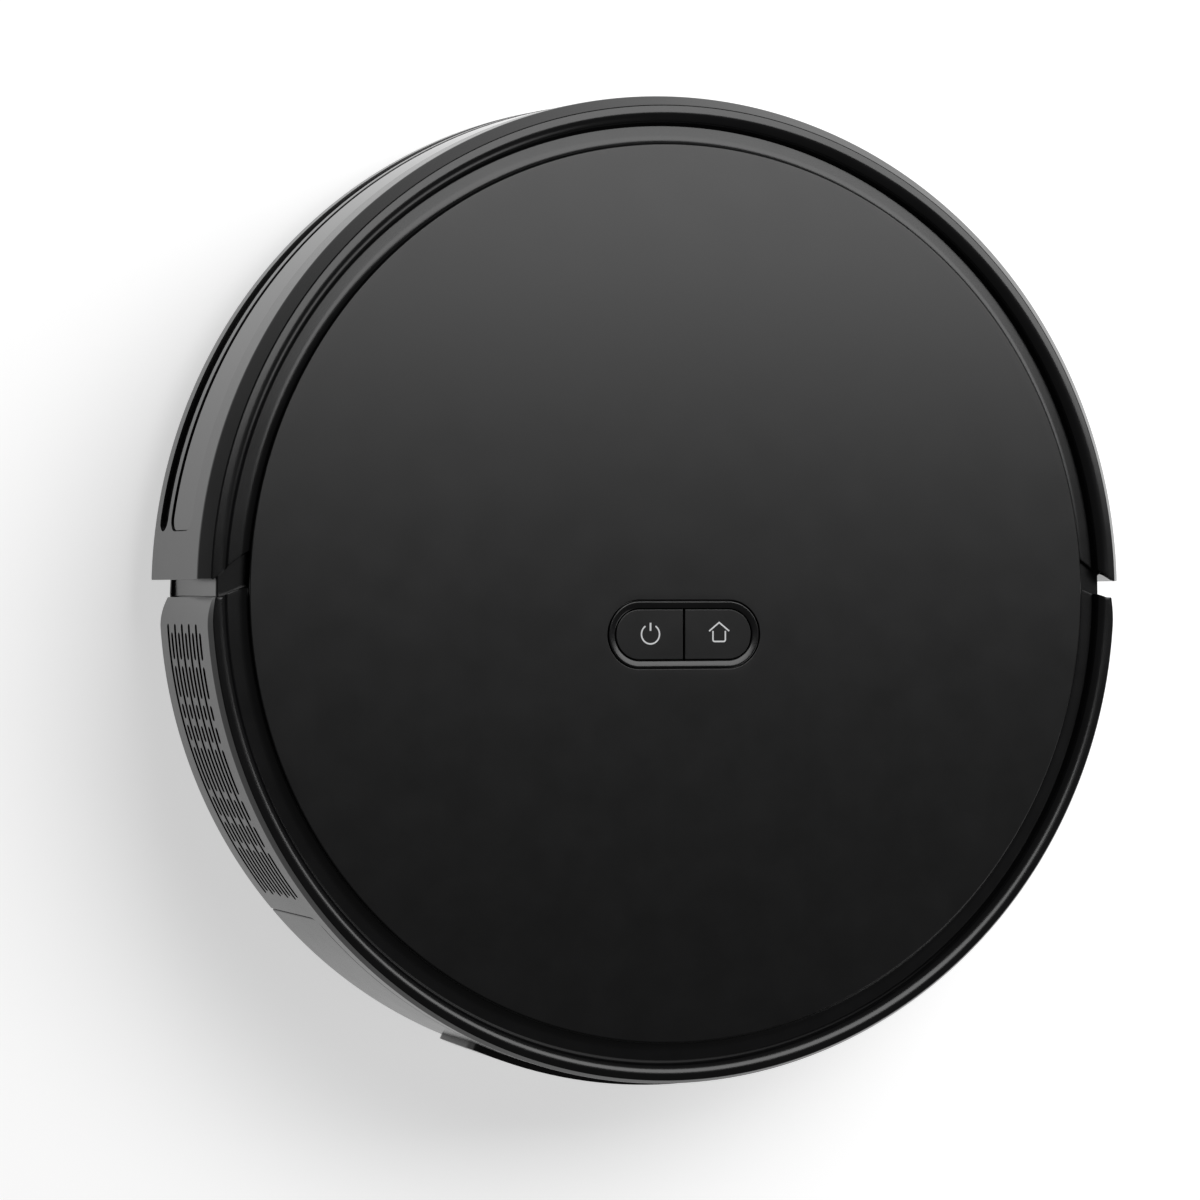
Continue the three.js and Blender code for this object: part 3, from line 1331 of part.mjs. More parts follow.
for (const [name, s] of sides) {
  piece(`tyre_${name}`, tyre(s), rubberBlack, 0, wheelY, 0);
  piece(`wheel_hub_${name}`, wheelHub(s), darkGrey, 0, wheelY, 0);
  piece(`wheel_arm_${name}`, wheelArm(s), darkGrey, 0, wheelY, 0);
  piece(`wheel_pivot_pin_${name}`, pivotPin(s), steel);
  piece(`suspension_spring_${name}`, suspensionSpring(s), steel, 0, wheelY, 0);
  piece(`bumper_spring_${name}`, bumperSpring(s), steel);
  piece(`side_brush_motor_${name}`, brushMotor(), darkGrey, s * brushX, brushY, 0);
  const brush = piece(`side_brush_${name}`, sideBrush(), bristleBlue, s * brushX, brushY, 0);
  brush.rotation.z = Math.atan2(-brushY, -s * brushX);
  piece(`side_brush_screw_${name}`, brushScrew(), steel, s * brushX, brushY, 0);
  piece(`battery_door_screw_${name}`, screw(screwHead - 0.4, 0.8, 7), steel,
    s * doorScrewX, doorScrewY, groundClearance);
  piece(`charging_contact_${name}`, chargingContact(), brass, s * contacts.x, contacts.y, groundClearance);
}

for (const [name, angle] of cliffPlaces) {
  const place = radians(angle);
  const sensor = piece(`cliff_sensor_${name}`, cliffWindow(), windowBlack,
    cliffRadius * Math.cos(place), cliffRadius * Math.sin(place), groundClearance);
  sensor.rotation.z = place;
}

baseScrews.forEach(([x, y], i) => {
  piece(`base_screw_${i + 1}`, screw(screwHead, 1.6, screwLength), steel, x, y, groundClearance + 0.4);
});

export default robot;
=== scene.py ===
import json
import math

import bmesh
import bpy
from mathutils import Matrix, Vector


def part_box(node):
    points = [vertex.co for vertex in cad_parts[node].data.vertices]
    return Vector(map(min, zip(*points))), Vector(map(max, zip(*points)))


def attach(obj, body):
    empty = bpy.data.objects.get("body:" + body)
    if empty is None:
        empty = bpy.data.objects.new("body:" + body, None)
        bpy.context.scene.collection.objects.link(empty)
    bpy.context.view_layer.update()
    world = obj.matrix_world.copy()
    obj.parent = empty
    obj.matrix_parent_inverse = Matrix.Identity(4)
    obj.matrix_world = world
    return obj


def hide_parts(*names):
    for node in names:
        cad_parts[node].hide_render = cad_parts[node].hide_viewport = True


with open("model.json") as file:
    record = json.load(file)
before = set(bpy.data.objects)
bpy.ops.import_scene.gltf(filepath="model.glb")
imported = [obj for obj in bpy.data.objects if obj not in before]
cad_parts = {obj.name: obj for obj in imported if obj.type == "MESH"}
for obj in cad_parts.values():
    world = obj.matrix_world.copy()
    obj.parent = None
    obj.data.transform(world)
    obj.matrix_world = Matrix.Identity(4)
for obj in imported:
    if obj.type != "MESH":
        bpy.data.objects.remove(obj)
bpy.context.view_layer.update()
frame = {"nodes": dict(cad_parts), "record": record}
nodes = frame["nodes"]

MM = 0.001

# ------------------------------------------------------------------ sizes, in mm, from the frame
panel_low, panel_high = (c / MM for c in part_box("top_panel"))
bumper_low, bumper_high = (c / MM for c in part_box("bumper"))
window_low, window_high = (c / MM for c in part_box("ir_window"))
cover_low, cover_high = (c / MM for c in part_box("bin_cover"))
shell_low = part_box("rear_shell")[0] / MM
bezel_low, bezel_high = (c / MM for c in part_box("button_bezel"))
button_low, button_high = (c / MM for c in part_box("power_button"))
base_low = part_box("base_chassis")[0] / MM
latch_low, latch_high = (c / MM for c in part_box("bin_button"))

GAP = 0.3  # between neighbouring pieces
BODY_RADIUS = bumper_high.y
RIM_TOP = bumper_high.z
LIP = bumper_low.z
PANEL_TOP = panel_high.z
PANEL_BOTTOM = panel_low.z
PANEL_RADIUS = panel_high.y
FLANGE_INNER = PANEL_RADIUS - 0.4
FLANGE_TOP = PANEL_BOTTOM - 0.5
GROOVE_FLOOR = PANEL_TOP - 3.5
GROOVE_OUTER = PANEL_RADIUS + 6.2
RIM_INNER = GROOVE_OUTER + 4.1
RIM_OUTER = RIM_INNER + 2.0
WALL_TOP_RADIUS = BODY_RADIUS - 2.9
WALL_TOP = RIM_TOP - 4.8
DRUM_RADIUS = RIM_OUTER - 3
REAR_RIM_OUTER = RIM_OUTER - 0.3
REAR_TOP_RADIUS = REAR_RIM_OUTER + 1.3
REAR_WALL_TOP = RIM_TOP - 2.5
REAR_RADIUS = REAR_TOP_RADIUS + 1.0
REAR_BOTTOM = shell_low.z + 1.2
SHELL_WALL = 2.7
WINDOW_TOP = window_high.z
WINDOW_BOTTOM = window_low.z
WINDOW_END = 6.9  # degrees ahead of the X axis
SLOT_BOTTOM = 29.1
SLOT_TOP = 37.0
COVER_TOP = cover_high.z
REAR_MIDDLE = 270  # degrees
COVER_HALF = 50.0  # degrees
COVER_SIDE_GAP = 0.22  # degrees
COVER_TOP_GAP = 0.45
GRIP_HALF = 24.5  # degrees
GRIP_RADIUS = -cover_low.y
PILL_Y = (bezel_low.y + bezel_high.y) / 2
PILL_LENGTH = bezel_high.x - bezel_low.x
PILL_WIDTH = bezel_high.y - bezel_low.y
BEZEL_WIDTH = 2.4
CIRCLE_STEP = 1.0  # degrees
END_REACH = 12.0  # length with closer rings at each end of a swept wall
END_RINGS = 10
WELD = 0.002


# ------------------------------------------------------------------ mesh helpers
def finish_mesh(name, bm, body, slot=None, replaces=(), sharp=32, material=None):
    """Turns a bmesh in mm into a smooth-shaded piece in metres that rides on a body.

    It takes the slot's look, or the given material where it has no slot.
    """
    bmesh.ops.recalc_face_normals(bm, faces=bm.faces)
    bmesh.ops.scale(bm, vec=(MM, MM, MM), verts=bm.verts)
    mesh = bpy.data.meshes.new(name)
    bm.to_mesh(mesh)
    bm.free()
    piece = bpy.data.objects.new(name, mesh)
    bpy.context.scene.collection.objects.link(piece)
    shade(piece, sharp)
    mesh.materials.append(material or LOOKS[slot])
    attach(piece, body)
    if replaces:
        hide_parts(*replaces)
    normals = piece.modifiers.new("flat_faces_flat", "WEIGHTED_NORMAL")
    normals.keep_sharp = True
    normals.weight = 80
    return piece


def shade(piece, sharp):
    """Smooth shading with hard edges where faces meet at more than the given angle."""
    mesh = piece.data
    mesh.polygons.foreach_set("use_smooth", [True] * len(mesh.polygons))
    mesh.set_sharp_from_angle(angle=math.radians(sharp))
    mesh.update()


def rounded(points, radii, steps):
    """Closed outline with each corner rounded to its radius."""
    out = []
    n = len(points)
    for i, (x, y) in enumerate(points):
        r = radii[i] if i < len(radii) else 0
        p = Vector((x, y))
        a = Vector(points[i - 1]) - p
        b = Vector(points[(i + 1) % n]) - p
        la, lb = a.length, b.length
        if r <= 0 or la == 0 or lb == 0:
            out.append((x, y))
            continue
        a.normalize()
        b.normalize()
        half = a.angle(b) / 2
        reach = min(r / math.tan(half), la * 0.49, lb * 0.49)
        start, end = p + a * reach, p + b * reach
        for k in range(steps + 1):
            t = k / steps
            q = start * (1 - t) ** 2 + p * 2 * t * (1 - t) + end * t ** 2
            out.append((q.x, q.y))
    return out


def inset(loop, distance):
    """Closed outline moved inwards by a distance."""
    if distance <= 0:
        return list(loop)
    area = sum(a[0] * b[1] - b[0] * a[1] for a, b in zip(loop, loop[1:] + loop[:1]))
    sign = 1 if area > 0 else -1
    out = []
    n = len(loop)
    for i in range(n):
        a = Vector(loop[i - 1])
        p = Vector(loop[i])
        b = Vector(loop[(i + 1) % n])
        d = (b - a)
        if d.length < 1e-9:
            out.append(tuple(p))
            continue
        d.normalize()
        normal = Vector((-d.y, d.x)) * sign
        q = p + normal * distance
        out.append((q.x, q.y))
    return out


def sweep(profile, start, end, edge=0.35, warp=None, step=CIRCLE_STEP):
    """Profile of (radius, height) swept about Z between two end faces.

    start and end give the end angle in degrees at a radius; edge rounds the end faces' rims.
    """
    mid = sum(p[0] for p in profile) / len(profile)
    a0, a1 = start(mid), end(mid)
    count = max(8, int(abs(a1 - a0) / step))
    arc = 4
    rows = []
    for k in range(arc + 1):
        phi = k / arc * math.pi / 2
        rows.append((edge * (1 - math.cos(phi)), edge * (1 - math.sin(phi))))
    rows = rows[::-1]
    bm = bmesh.new()
    rings = []

    def ring(t, depth, near_start, distance):
        loop = inset(profile, depth)
        verts = []
        for (r0, _), (r, z) in zip(profile, loop):
            lo, hi = start(r0), end(r0)
            if distance is None:
                a = lo + (hi - lo) * t
            else:
                shift = math.degrees(distance / max(r, 1))
                a = lo + shift if near_start else hi - shift
            rr = r
            if warp:
                from_end = min(abs(a - lo), abs(hi - a)) * math.pi / 180 * r0
                rr = warp(r, from_end)
            rad = math.radians(a)
            verts.append(bm.verts.new((rr * math.cos(rad), rr * math.sin(rad), z)))
        rings.append(verts)

    for depth, distance in rows:
        ring(0, depth, True, distance)
    length = math.radians(abs(a1 - a0)) * mid
    reach = END_REACH / length
    near = [reach * (0.09 + 0.91 * k / END_RINGS) for k in range(END_RINGS + 1)]
    between = [reach + (1 - 2 * reach) * i / count for i in range(1, count)]
    for t in near + between + [1 - t for t in reversed(near)]:
        ring(t, 0, True, None)
    for depth, distance in reversed(rows):
        ring(1, depth, False, distance)
    n = len(profile)
    for a, b in zip(rings, rings[1:]):
        for i in range(n):
            bm.faces.new((a[i], a[(i + 1) % n], b[(i + 1) % n], b[i]))
    for ends in (rings[0], rings[-1]):
        face = bm.faces.new(ends)
        bmesh.ops.triangulate(bm, faces=[face])
    return bm


def lathe(profile, steps, closed=True, axis="Z", centre=(0, 0, 0)):
    """Profile turned a full circle.

    A closed profile makes a ring, and an open one starts and ends on the axis.
    """
    bm = bmesh.new()
    rings = []
    for k in range(steps):
        a = 2 * math.pi * k / steps
        verts = []
        for r, z in profile:
            if r == 0:
                verts.append(None)
            else:
                verts.append(bm.verts.new((r * math.cos(a), r * math.sin(a), z)))
        rings.append(verts)
    poles = {i: bm.verts.new((0, 0, z)) for i, (r, z) in enumerate(profile) if r == 0}
    n = len(profile)
    pairs = n if closed else n - 1
    for k in range(steps):
        a, b = rings[k], rings[(k + 1) % steps]
        for i in range(pairs):
            j = (i + 1) % n
            corners = [a[i] or poles[i], a[j] or poles[j], b[j] or poles[j], b[i] or poles[i]]
            unique = []
            for v in corners:
                if v not in unique:
                    unique.append(v)
            if len(unique) > 2:
                bm.faces.new(unique)
    turn(bm, axis, centre)
    return bm


def loft(loops):
    """Ring-shaped solid through outlines of equal point count; the last outline joins the first."""
    bm = bmesh.new()
    rings = [[bm.verts.new(p) for p in loop] for loop in loops]
    n = len(loops[0])
    for a, b in zip(rings, rings[1:] + rings[:1]):
        for k in range(n):
            bm.faces.new((a[k], a[(k + 1) % n], b[(k + 1) % n], b[k]))
    return bm


def turn(bm, axis, centre):
    """Turns a mesh made about Z so that it lies about another axis, and puts it at its centre."""
    if axis == "X":
        bmesh.ops.rotate(bm, verts=bm.verts, matrix=Matrix.Rotation(math.pi / 2, 3, "Y"))
    if axis == "Y":
        bmesh.ops.rotate(bm, verts=bm.verts, matrix=Matrix.Rotation(-math.pi / 2, 3, "X"))
    bmesh.ops.translate(bm, verts=bm.verts, vec=centre)


def patch(inner, outer, a0, a1, z0, z1, corner, step=1.5):
    """Solid piece of a curved wall: a rounded rectangle in angle and height, between two radii."""
    radius = outer((z0 + z1) / 2)
    per_mm = math.degrees(1 / radius)
    corner = min(corner, (z1 - z0) / 2 - 0.01)
    columns = []
    corner_steps = 6
    for k in range(corner_steps + 1):
        phi = math.pi / 2 * k / corner_steps
        columns.append((corner * (1 - math.cos(phi)), corner * (1 - math.sin(phi))))
    span = (a1 - a0) / per_mm
    left = [(d, inset_z) for d, inset_z in columns]
    right = [(span - d, inset_z) for d, inset_z in reversed(columns)]
    count = max(1, int((span - 2 * corner) * per_mm / step))
    middle = [(corner + (span - 2 * corner) * k / count, 0) for k in range(1, count)]
    bm = bmesh.new()
    rows = []
    for d, inset_z in left + middle + right:
        a = math.radians(a0 + d * per_mm)
        lo, hi = z0 + inset_z, z1 - inset_z
        loop = []
        for r, z in ((inner(lo), lo), (outer(lo), lo), (outer(hi), hi), (inner(hi), hi)):
            loop.append(bm.verts.new((r * math.cos(a), r * math.sin(a), z)))
        rows.append(loop)
    for a, b in zip(rows, rows[1:]):
        for i in range(4):
            bm.faces.new((a[i], a[(i + 1) % 4], b[(i + 1) % 4], b[i]))
    bm.faces.new(rows[0])
    bm.faces.new(rows[-1])
    return bm


def pill_points(length, width, y, steps=20):
    r = width / 2
    reach = length / 2 - r
    points = []
    for side, start in ((1, -math.pi / 2), (-1, math.pi / 2)):
        for k in range(steps + 1):
            a = start + math.pi * k / steps
            points.append((side * reach + r * math.cos(a), y + r * math.sin(a)))
    return points


def prism(points, z0, z1):
    bm = bmesh.new()
    low = [bm.verts.new((x, y, z0)) for x, y in points]
    high = [bm.verts.new((x, y, z1)) for x, y in points]
    bm.faces.new(low)
    bm.faces.new(high)
    n = len(points)
    for i in range(n):
        j = (i + 1) % n
        bm.faces.new((low[i], low[j], high[j], high[i]))
    return bm


def temp_object(bm):
    bmesh.ops.recalc_face_normals(bm, faces=bm.faces)
    bmesh.ops.scale(bm, vec=(MM, MM, MM), verts=bm.verts)
    mesh = bpy.data.meshes.new("cutter")
    bm.to_mesh(mesh)
    bm.free()
    thing = bpy.data.objects.new("cutter", mesh)
    bpy.context.scene.collection.objects.link(thing)
    return thing


def merged(parts):
    """Several separate solids as one mesh."""
    whole = bmesh.new()
    for part in parts:
        mesh = bpy.data.meshes.new("part")
        bmesh.ops.recalc_face_normals(part, faces=part.faces)
        part.to_mesh(mesh)
        part.free()
        whole.from_mesh(mesh)
        bpy.data.meshes.remove(mesh)
    return whole


def boolean(piece, parts, operation="DIFFERENCE", sharp=32):
    """Cuts or joins solids into a piece and keeps the result as its mesh."""
    cutter = temp_object(merged(parts))
    modifier = piece.modifiers.new("cut", "BOOLEAN")
    modifier.operation = operation
    modifier.solver = "EXACT"
    modifier.object = cutter
    apply_modifiers(piece)
    bm = bmesh.new()
    bm.from_mesh(piece.data)
    bmesh.ops.remove_doubles(bm, verts=bm.verts, dist=WELD * MM)
    bmesh.ops.dissolve_degenerate(bm, edges=bm.edges, dist=WELD * MM)
    bm.to_mesh(piece.data)
    bm.free()
    shade(piece, sharp)
    bpy.data.objects.remove(cutter)


def apply_modifiers(piece):
    """Bakes the modifiers into the mesh, apart from the one that weights the normals."""
    for modifier in piece.modifiers:
        if modifier.type == "WEIGHTED_NORMAL":
            modifier.show_viewport = False
    bpy.context.view_layer.update()
    graph = bpy.context.evaluated_depsgraph_get()
    mesh = bpy.data.meshes.new_from_object(piece.evaluated_get(graph))
    for modifier in list(piece.modifiers):
        if modifier.type == "WEIGHTED_NORMAL":
            modifier.show_viewport = True
        else:
            piece.modifiers.remove(modifier)
    old = piece.data
    piece.data = mesh
    bpy.data.meshes.remove(old)


def bevel(piece, width, angle, segments, sharp=32):
    modifier = piece.modifiers.new("edge", "BEVEL")
    modifier.width = width * MM
    modifier.segments = segments
    modifier.limit_method = "ANGLE"
    modifier.angle_limit = math.radians(angle)
    modifier.use_clamp_overlap = True
    apply_modifiers(piece)
    shade(piece, sharp)


# ------------------------------------------------------------------ shell geometry
def end_angle(line):
    """End angle in degrees at a radius, read from a line of (x, y) points in plan."""
    marks = sorted((math.hypot(x, y), math.degrees(math.atan2(y, x))) for x, y in line)

    def at(r):
        if r <= marks[0][0]:
            return marks[0][1]
        for (r0, a0), (r1, a1) in zip(marks, marks[1:]):
            if r <= r1:
                return a0 + (a1 - a0) * (r - r0) / max(r1 - r0, 1e-6)
        return marks[-1][1]

    return at


front_end = end_angle([
    (PANEL_RADIUS - 16, 25),
    (PANEL_RADIUS, 12.5),
    (RIM_OUTER - 1, 4.2),
    (BODY_RADIUS + 20, 4.2),
])
rear_end = end_angle([
    (PANEL_RADIUS - 16, 7.3),
    (PANEL_RADIUS + 1, 1.9),
    (RIM_OUTER - 3, -1.3),
    (BODY_RADIUS + 20, -1.3),
])


def bumper_radius(z):
    return WALL_TOP_RADIUS + (BODY_RADIUS - WALL_TOP_RADIUS) * (WALL_TOP - z) / (WALL_TOP - LIP)


def rear_radius(z):
    spread = REAR_RADIUS - REAR_TOP_RADIUS
    return REAR_TOP_RADIUS + spread * (REAR_WALL_TOP - z) / (REAR_WALL_TOP - REAR_BOTTOM)


def rim_surface():
    """Panel flange, fillet, groove floor and the rounded rise to the rim."""
    points = []
    drop = FLANGE_TOP - GROOVE_FLOOR
    for i in range(9):
        t = i / 8 * math.pi / 2
        points.append((FLANGE_INNER + 3.4 * (1 - math.cos(t)), FLANGE_TOP - drop * math.sin(t)))
    rise = RIM_TOP - GROOVE_FLOOR
    points.append((GROOVE_OUTER - 0.25, GROOVE_FLOOR))
    for i in range(1, 13):
        t = i / 12 * math.pi / 2
        points.append((GROOVE_OUTER + 4.1 * (1 - math.cos(t)), GROOVE_FLOOR + rise * math.sin(t)))
    return points


def shell_profile(wall, underside):
    """Closed shell section: the rim surface, rounded wall corners, and the inside."""
    top = rim_surface()
    corners = top + [p for p, _ in wall] + underside
    radii = [0] * len(top) + [r for _, r in wall] + [0] * len(underside)
    return rounded(corners, radii, steps=5)


bumper_inner = DRUM_RADIUS + 4.4
bumper_profile = shell_profile(
    [
        ((RIM_OUTER, RIM_TOP - 0.25), 0.9),
        ((WALL_TOP_RADIUS, WALL_TOP), 1.4),
        ((BODY_RADIUS, LIP), 1.1),
        ((BODY_RADIUS - 3, LIP), 0.8),
    ],
    [
        (bumper_inner, WALL_TOP - 1.5),
        (bumper_inner - 1.6, RIM_TOP - 2.2),
        (GROOVE_OUTER + 2.6, RIM_TOP - 2.2),
        (GROOVE_OUTER + 1.2, GROOVE_FLOOR - 1.1),
        (FLANGE_INNER, GROOVE_FLOOR - 1.1),
    ],
)
rear_inner = REAR_TOP_RADIUS - SHELL_WALL
rear_profile = shell_profile(
    [
        ((REAR_RIM_OUTER, RIM_TOP - 0.25), 0.6),
        ((REAR_TOP_RADIUS, REAR_WALL_TOP), 1.0),
        ((REAR_RADIUS, REAR_BOTTOM), 1.0),
        ((REAR_RADIUS - 2.6, REAR_BOTTOM - 1.2), 0.5),
        ((REAR_RADIUS - SHELL_WALL, REAR_BOTTOM + 1), 0),
    ],
    [
        (rear_inner, REAR_WALL_TOP - 1.5),
        (rear_inner - 0.8, RIM_TOP - 2.2),
        (GROOVE_OUTER + 2.6, RIM_TOP - 2.2),
        (GROOVE_OUTER + 1.2, GROOVE_FLOOR - 1.1),
        (FLANGE_INNER, GROOVE_FLOOR - 1.1),
    ],
)


# ------------------------------------------------------------------ materials
def new_material(name):
    material = bpy.data.materials.new(name)
    material.use_nodes = True
    tree = material.node_tree
    return material, tree, tree.nodes["Principled BSDF"]


def noise_into(tree, scale, detail, roughness=0.6):
    where = tree.nodes.new("ShaderNodeTexCoord")
    noise = tree.nodes.new("ShaderNodeTexNoise")
    noise.inputs["Scale"].default_value = scale
    noise.inputs["Detail"].default_value = detail
    noise.inputs["Roughness"].default_value = roughness
    tree.links.new(where.outputs["Object"], noise.inputs["Vector"])
    return noise.outputs["Fac"]


NOISE_LOW = 0.3   # the noise's usual range
NOISE_HIGH = 0.7


def ranged(tree, value, low, high):
    node = tree.nodes.new("ShaderNodeMapRange")
    node.inputs["From Min"].default_value = NOISE_LOW
    node.inputs["From Max"].default_value = NOISE_HIGH
    node.inputs["To Min"].default_value = low
    node.inputs["To Max"].default_value = high
    tree.links.new(value, node.inputs["Value"])
    return node.outputs["Result"]


def coloured(tree, value, dark, light):
    ramp = tree.nodes.new("ShaderNodeValToRGB")
    ramp.color_ramp.elements[0].position = NOISE_LOW
    ramp.color_ramp.elements[0].color = (*dark, 1)
    ramp.color_ramp.elements[1].position = NOISE_HIGH
    ramp.color_ramp.elements[1].color = (*light, 1)
    tree.links.new(value, ramp.inputs["Fac"])
    return ramp.outputs["Color"]


def bumped(tree, shader, value, strength, distance):
    bump = tree.nodes.new("ShaderNodeBump")
    bump.inputs["Strength"].default_value = strength
    bump.inputs["Distance"].default_value = distance * MM
    tree.links.new(value, bump.inputs["Height"])
    tree.links.new(bump.outputs["Normal"], shader.inputs["Normal"])


def surface(name, colour, rough, strength, grain=2400, depth=0.03, spread=0.012,
            shade_spread=0.2, metallic=0.0):
    """Moulded or cast surface: slow shifts of colour and gloss over a fine grain."""
    material, tree, shader = new_material(name)
    slow = noise_into(tree, 70, 4)
    fine = noise_into(tree, grain, 2, 0.5)
    dark = tuple(c * (1 - shade_spread) for c in colour)
    light = tuple(min(1, c * (1 + shade_spread)) for c in colour)
    tree.links.new(coloured(tree, slow, dark, light), shader.inputs["Base Color"])
    tree.links.new(ranged(tree, slow, rough - spread, rough + spread), shader.inputs["Roughness"])
    shader.inputs["Metallic"].default_value = metallic
    shader.inputs["IOR"].default_value = 1.5
    shader.inputs["Specular IOR Level"].default_value = 0.5
    if strength > 0:
        bumped(tree, shader, fine, strength, depth)
    return material


def clear_smoke(name, colour, rough, alpha):
    material = surface(name, colour, rough, grain=900, strength=0.02, depth=0.02)
    shader = material.node_tree.nodes["Principled BSDF"]
    shader.inputs["Alpha"].default_value = alpha
    return material


LOOKS = {
    "satin_black": surface("satin_black", (0.0035, 0.0035, 0.0038), 0.22,
                           strength=0.05, depth=0.02),
    "panel_black": surface("panel_black", (0.0022, 0.0022, 0.0024), 0.3, strength=0.06, depth=0.02),
    "matte_black": surface("matte_black", (0.02, 0.02, 0.021), 0.5, grain=1500,
                           strength=0.25, depth=0.05),
    "window_black": surface("window_black", (0.0015, 0.0015, 0.0018), 0.06,
                            strength=0.0, spread=0.01),
    "dark_grey": surface("dark_grey", (0.03, 0.031, 0.033), 0.5, grain=1600,
                         strength=0.18, depth=0.04),
    "smoke": clear_smoke("smoke", (0.02, 0.021, 0.023), 0.12, 0.55),
    "rubber": surface("rubber", (0.011, 0.011, 0.011), 0.72, grain=900, strength=0.3, depth=0.06),
    "tyre": surface("tyre", (0.012, 0.012, 0.0125), 0.78, grain=700, strength=0.35, depth=0.08),
    "steel": surface("steel", (0.56, 0.57, 0.58), 0.28, grain=3000, strength=0.06, depth=0.02,
                     shade_spread=0.08, metallic=1.0),
    "brass": surface("brass", (0.72, 0.47, 0.17), 0.22, grain=2600, strength=0.05, depth=0.02,
                     shade_spread=0.08, metallic=1.0),
    "board": surface("board", (0.012, 0.085, 0.03), 0.35, grain=800, strength=0.12, depth=0.03),
    "battery": surface("battery", (0.01, 0.05, 0.26), 0.3, grain=260, strength=0.12, depth=0.05),
    "motor_can": surface("motor_can", (0.32, 0.33, 0.34), 0.42, grain=1200,
                         strength=0.15, depth=0.03, shade_spread=0.1, metallic=0.9),
    "filter": surface("filter", (0.72, 0.70, 0.64), 0.9, grain=1300,
                      strength=0.5, depth=0.08, shade_spread=0.06),
    "bristle": surface("bristle", (0.015, 0.017, 0.022), 0.6, grain=900, strength=0.25, depth=0.05),
}
WHITE_INK = surface("white_ink", (0.8, 0.81, 0.82), 0.45, grain=1800,
                    strength=0.05, depth=0.01, shade_spread=0.04)

slot_of = {part["node"]: part["material_slot"] for part in frame["record"]["subparts"]}
bodies = frame["record"]["behaviour"]["bodies"]
body_of = {n: body for body, members in bodies.items() for n in members}
for name, node in nodes.items():
    node.data.materials.clear()
    node.data.materials.append(LOOKS[slot_of[name]])


def refined(name, edge, sharp=24, angle=34, segments=2):
    """A CAD node's own shape as a new piece with eased edges and smooth round faces."""
    mesh = nodes[name].data.copy()
    bm = bmesh.new()
    bm.from_mesh(mesh)
    bmesh.ops.remove_doubles(bm, verts=bm.verts, dist=1e-6)
    bmesh.ops.dissolve_limit(bm, angle_limit=math.radians(0.5), verts=bm.verts, edges=bm.edges)
    bmesh.ops.scale(bm, vec=(1 / MM,) * 3, verts=bm.verts)
    bpy.data.meshes.remove(mesh)
    piece = finish_mesh(name + "_piece", bm, body_of[name], slot_of[name], [name], sharp)
    if edge > 0:
        bevel(piece, edge, angle, segments, sharp)
    return piece


# ------------------------------------------------------------------ top panel, bezel and buttons
PILL_STEPS = 288


def pill_loop(grow, z):
    """The pill's outline grown by a distance, as points at even directions from its centre."""
    r = PILL_WIDTH / 2 + grow
    reach = (PILL_LENGTH - PILL_WIDTH) / 2
    points = []
    for k in range(PILL_STEPS):
        a = 2 * math.pi * k / PILL_STEPS
        c, d = abs(math.cos(a)), abs(math.sin(a))
        if d > 1e-9 and r / d * c <= reach:
            t = r / d
        else:
            t = c * reach + math.sqrt(max((c * reach) ** 2 - reach ** 2 + r ** 2, 0))
        points.append((t * math.cos(a), PILL_Y + t * math.sin(a), z))
    return points


def circle_loop(radius, z):
    """A circle about the body axis, as points in the same directions from the pill's centre."""
    points = []
    for k in range(PILL_STEPS):
        a = 2 * math.pi * k / PILL_STEPS
        along = PILL_Y * math.sin(a)
        t = -along + math.sqrt(along ** 2 - PILL_Y ** 2 + radius ** 2)
        points.append((t * math.cos(a), PILL_Y + t * math.sin(a), z))
    return points


def quarter(steps):
    return [math.pi / 2 * k / steps for k in range(steps + 1)]


edge_radius = PANEL_RADIUS - 0.05
panel_loops = [pill_loop(0.35, PANEL_BOTTOM), circle_loop(edge_radius - 0.2, PANEL_BOTTOM)]
panel_loops += [circle_loop(edge_radius, PANEL_BOTTOM + 0.2)]
panel_loops += [circle_loop(edge_radius - 0.5 * (1 - math.cos(t)),
                            PANEL_TOP - 0.5 * (1 - math.sin(t))) for t in quarter(5)]
panel_loops += [circle_loop(edge_radius - 4, PANEL_TOP), pill_loop(3, PANEL_TOP)]
panel_loops += [pill_loop(0.35 + 0.25 * (1 - math.sin(t)), PANEL_TOP - 0.25 * (1 - math.cos(t)))
                for t in quarter(3)]
finish_mesh("panel_disc", loft(panel_loops), "root", "panel_black", ["top_panel"])

bezel_top = [(0, 0.3), (0.08, 0.08), (0.3, 0), (0.7, 0.04), (1.3, 0.15), (2.0, 0.3), (2.25, 0.4),
             (BEZEL_WIDTH, 0.65)]  # (distance inwards, distance below the top)
bezel_section = [(0, bezel_low.z), *((depth, bezel_high.z - drop) for depth, drop in bezel_top),
                 (BEZEL_WIDTH, bezel_low.z)]
finish_mesh("pill_bezel", loft([pill_loop(-depth, z) for depth, z in bezel_section]),
            "root", "satin_black", ["button_bezel"], sharp=60)


def half_pill(side):
    """Outline of one button: one round end, cut straight beside the divider."""
    r = PILL_WIDTH / 2 - BEZEL_WIDTH - 0.25
    reach = PILL_LENGTH / 2 - BEZEL_WIDTH - 0.25 - r
    points = []
    for k in range(41):
        a = -math.pi / 2 + math.pi * k / 40
        points.append((side * (reach + r * math.cos(a)), PILL_Y + r * math.sin(a)))
    points += [(side * 0.25, PILL_Y + r), (side * 0.25, PILL_Y - r)]
    return points


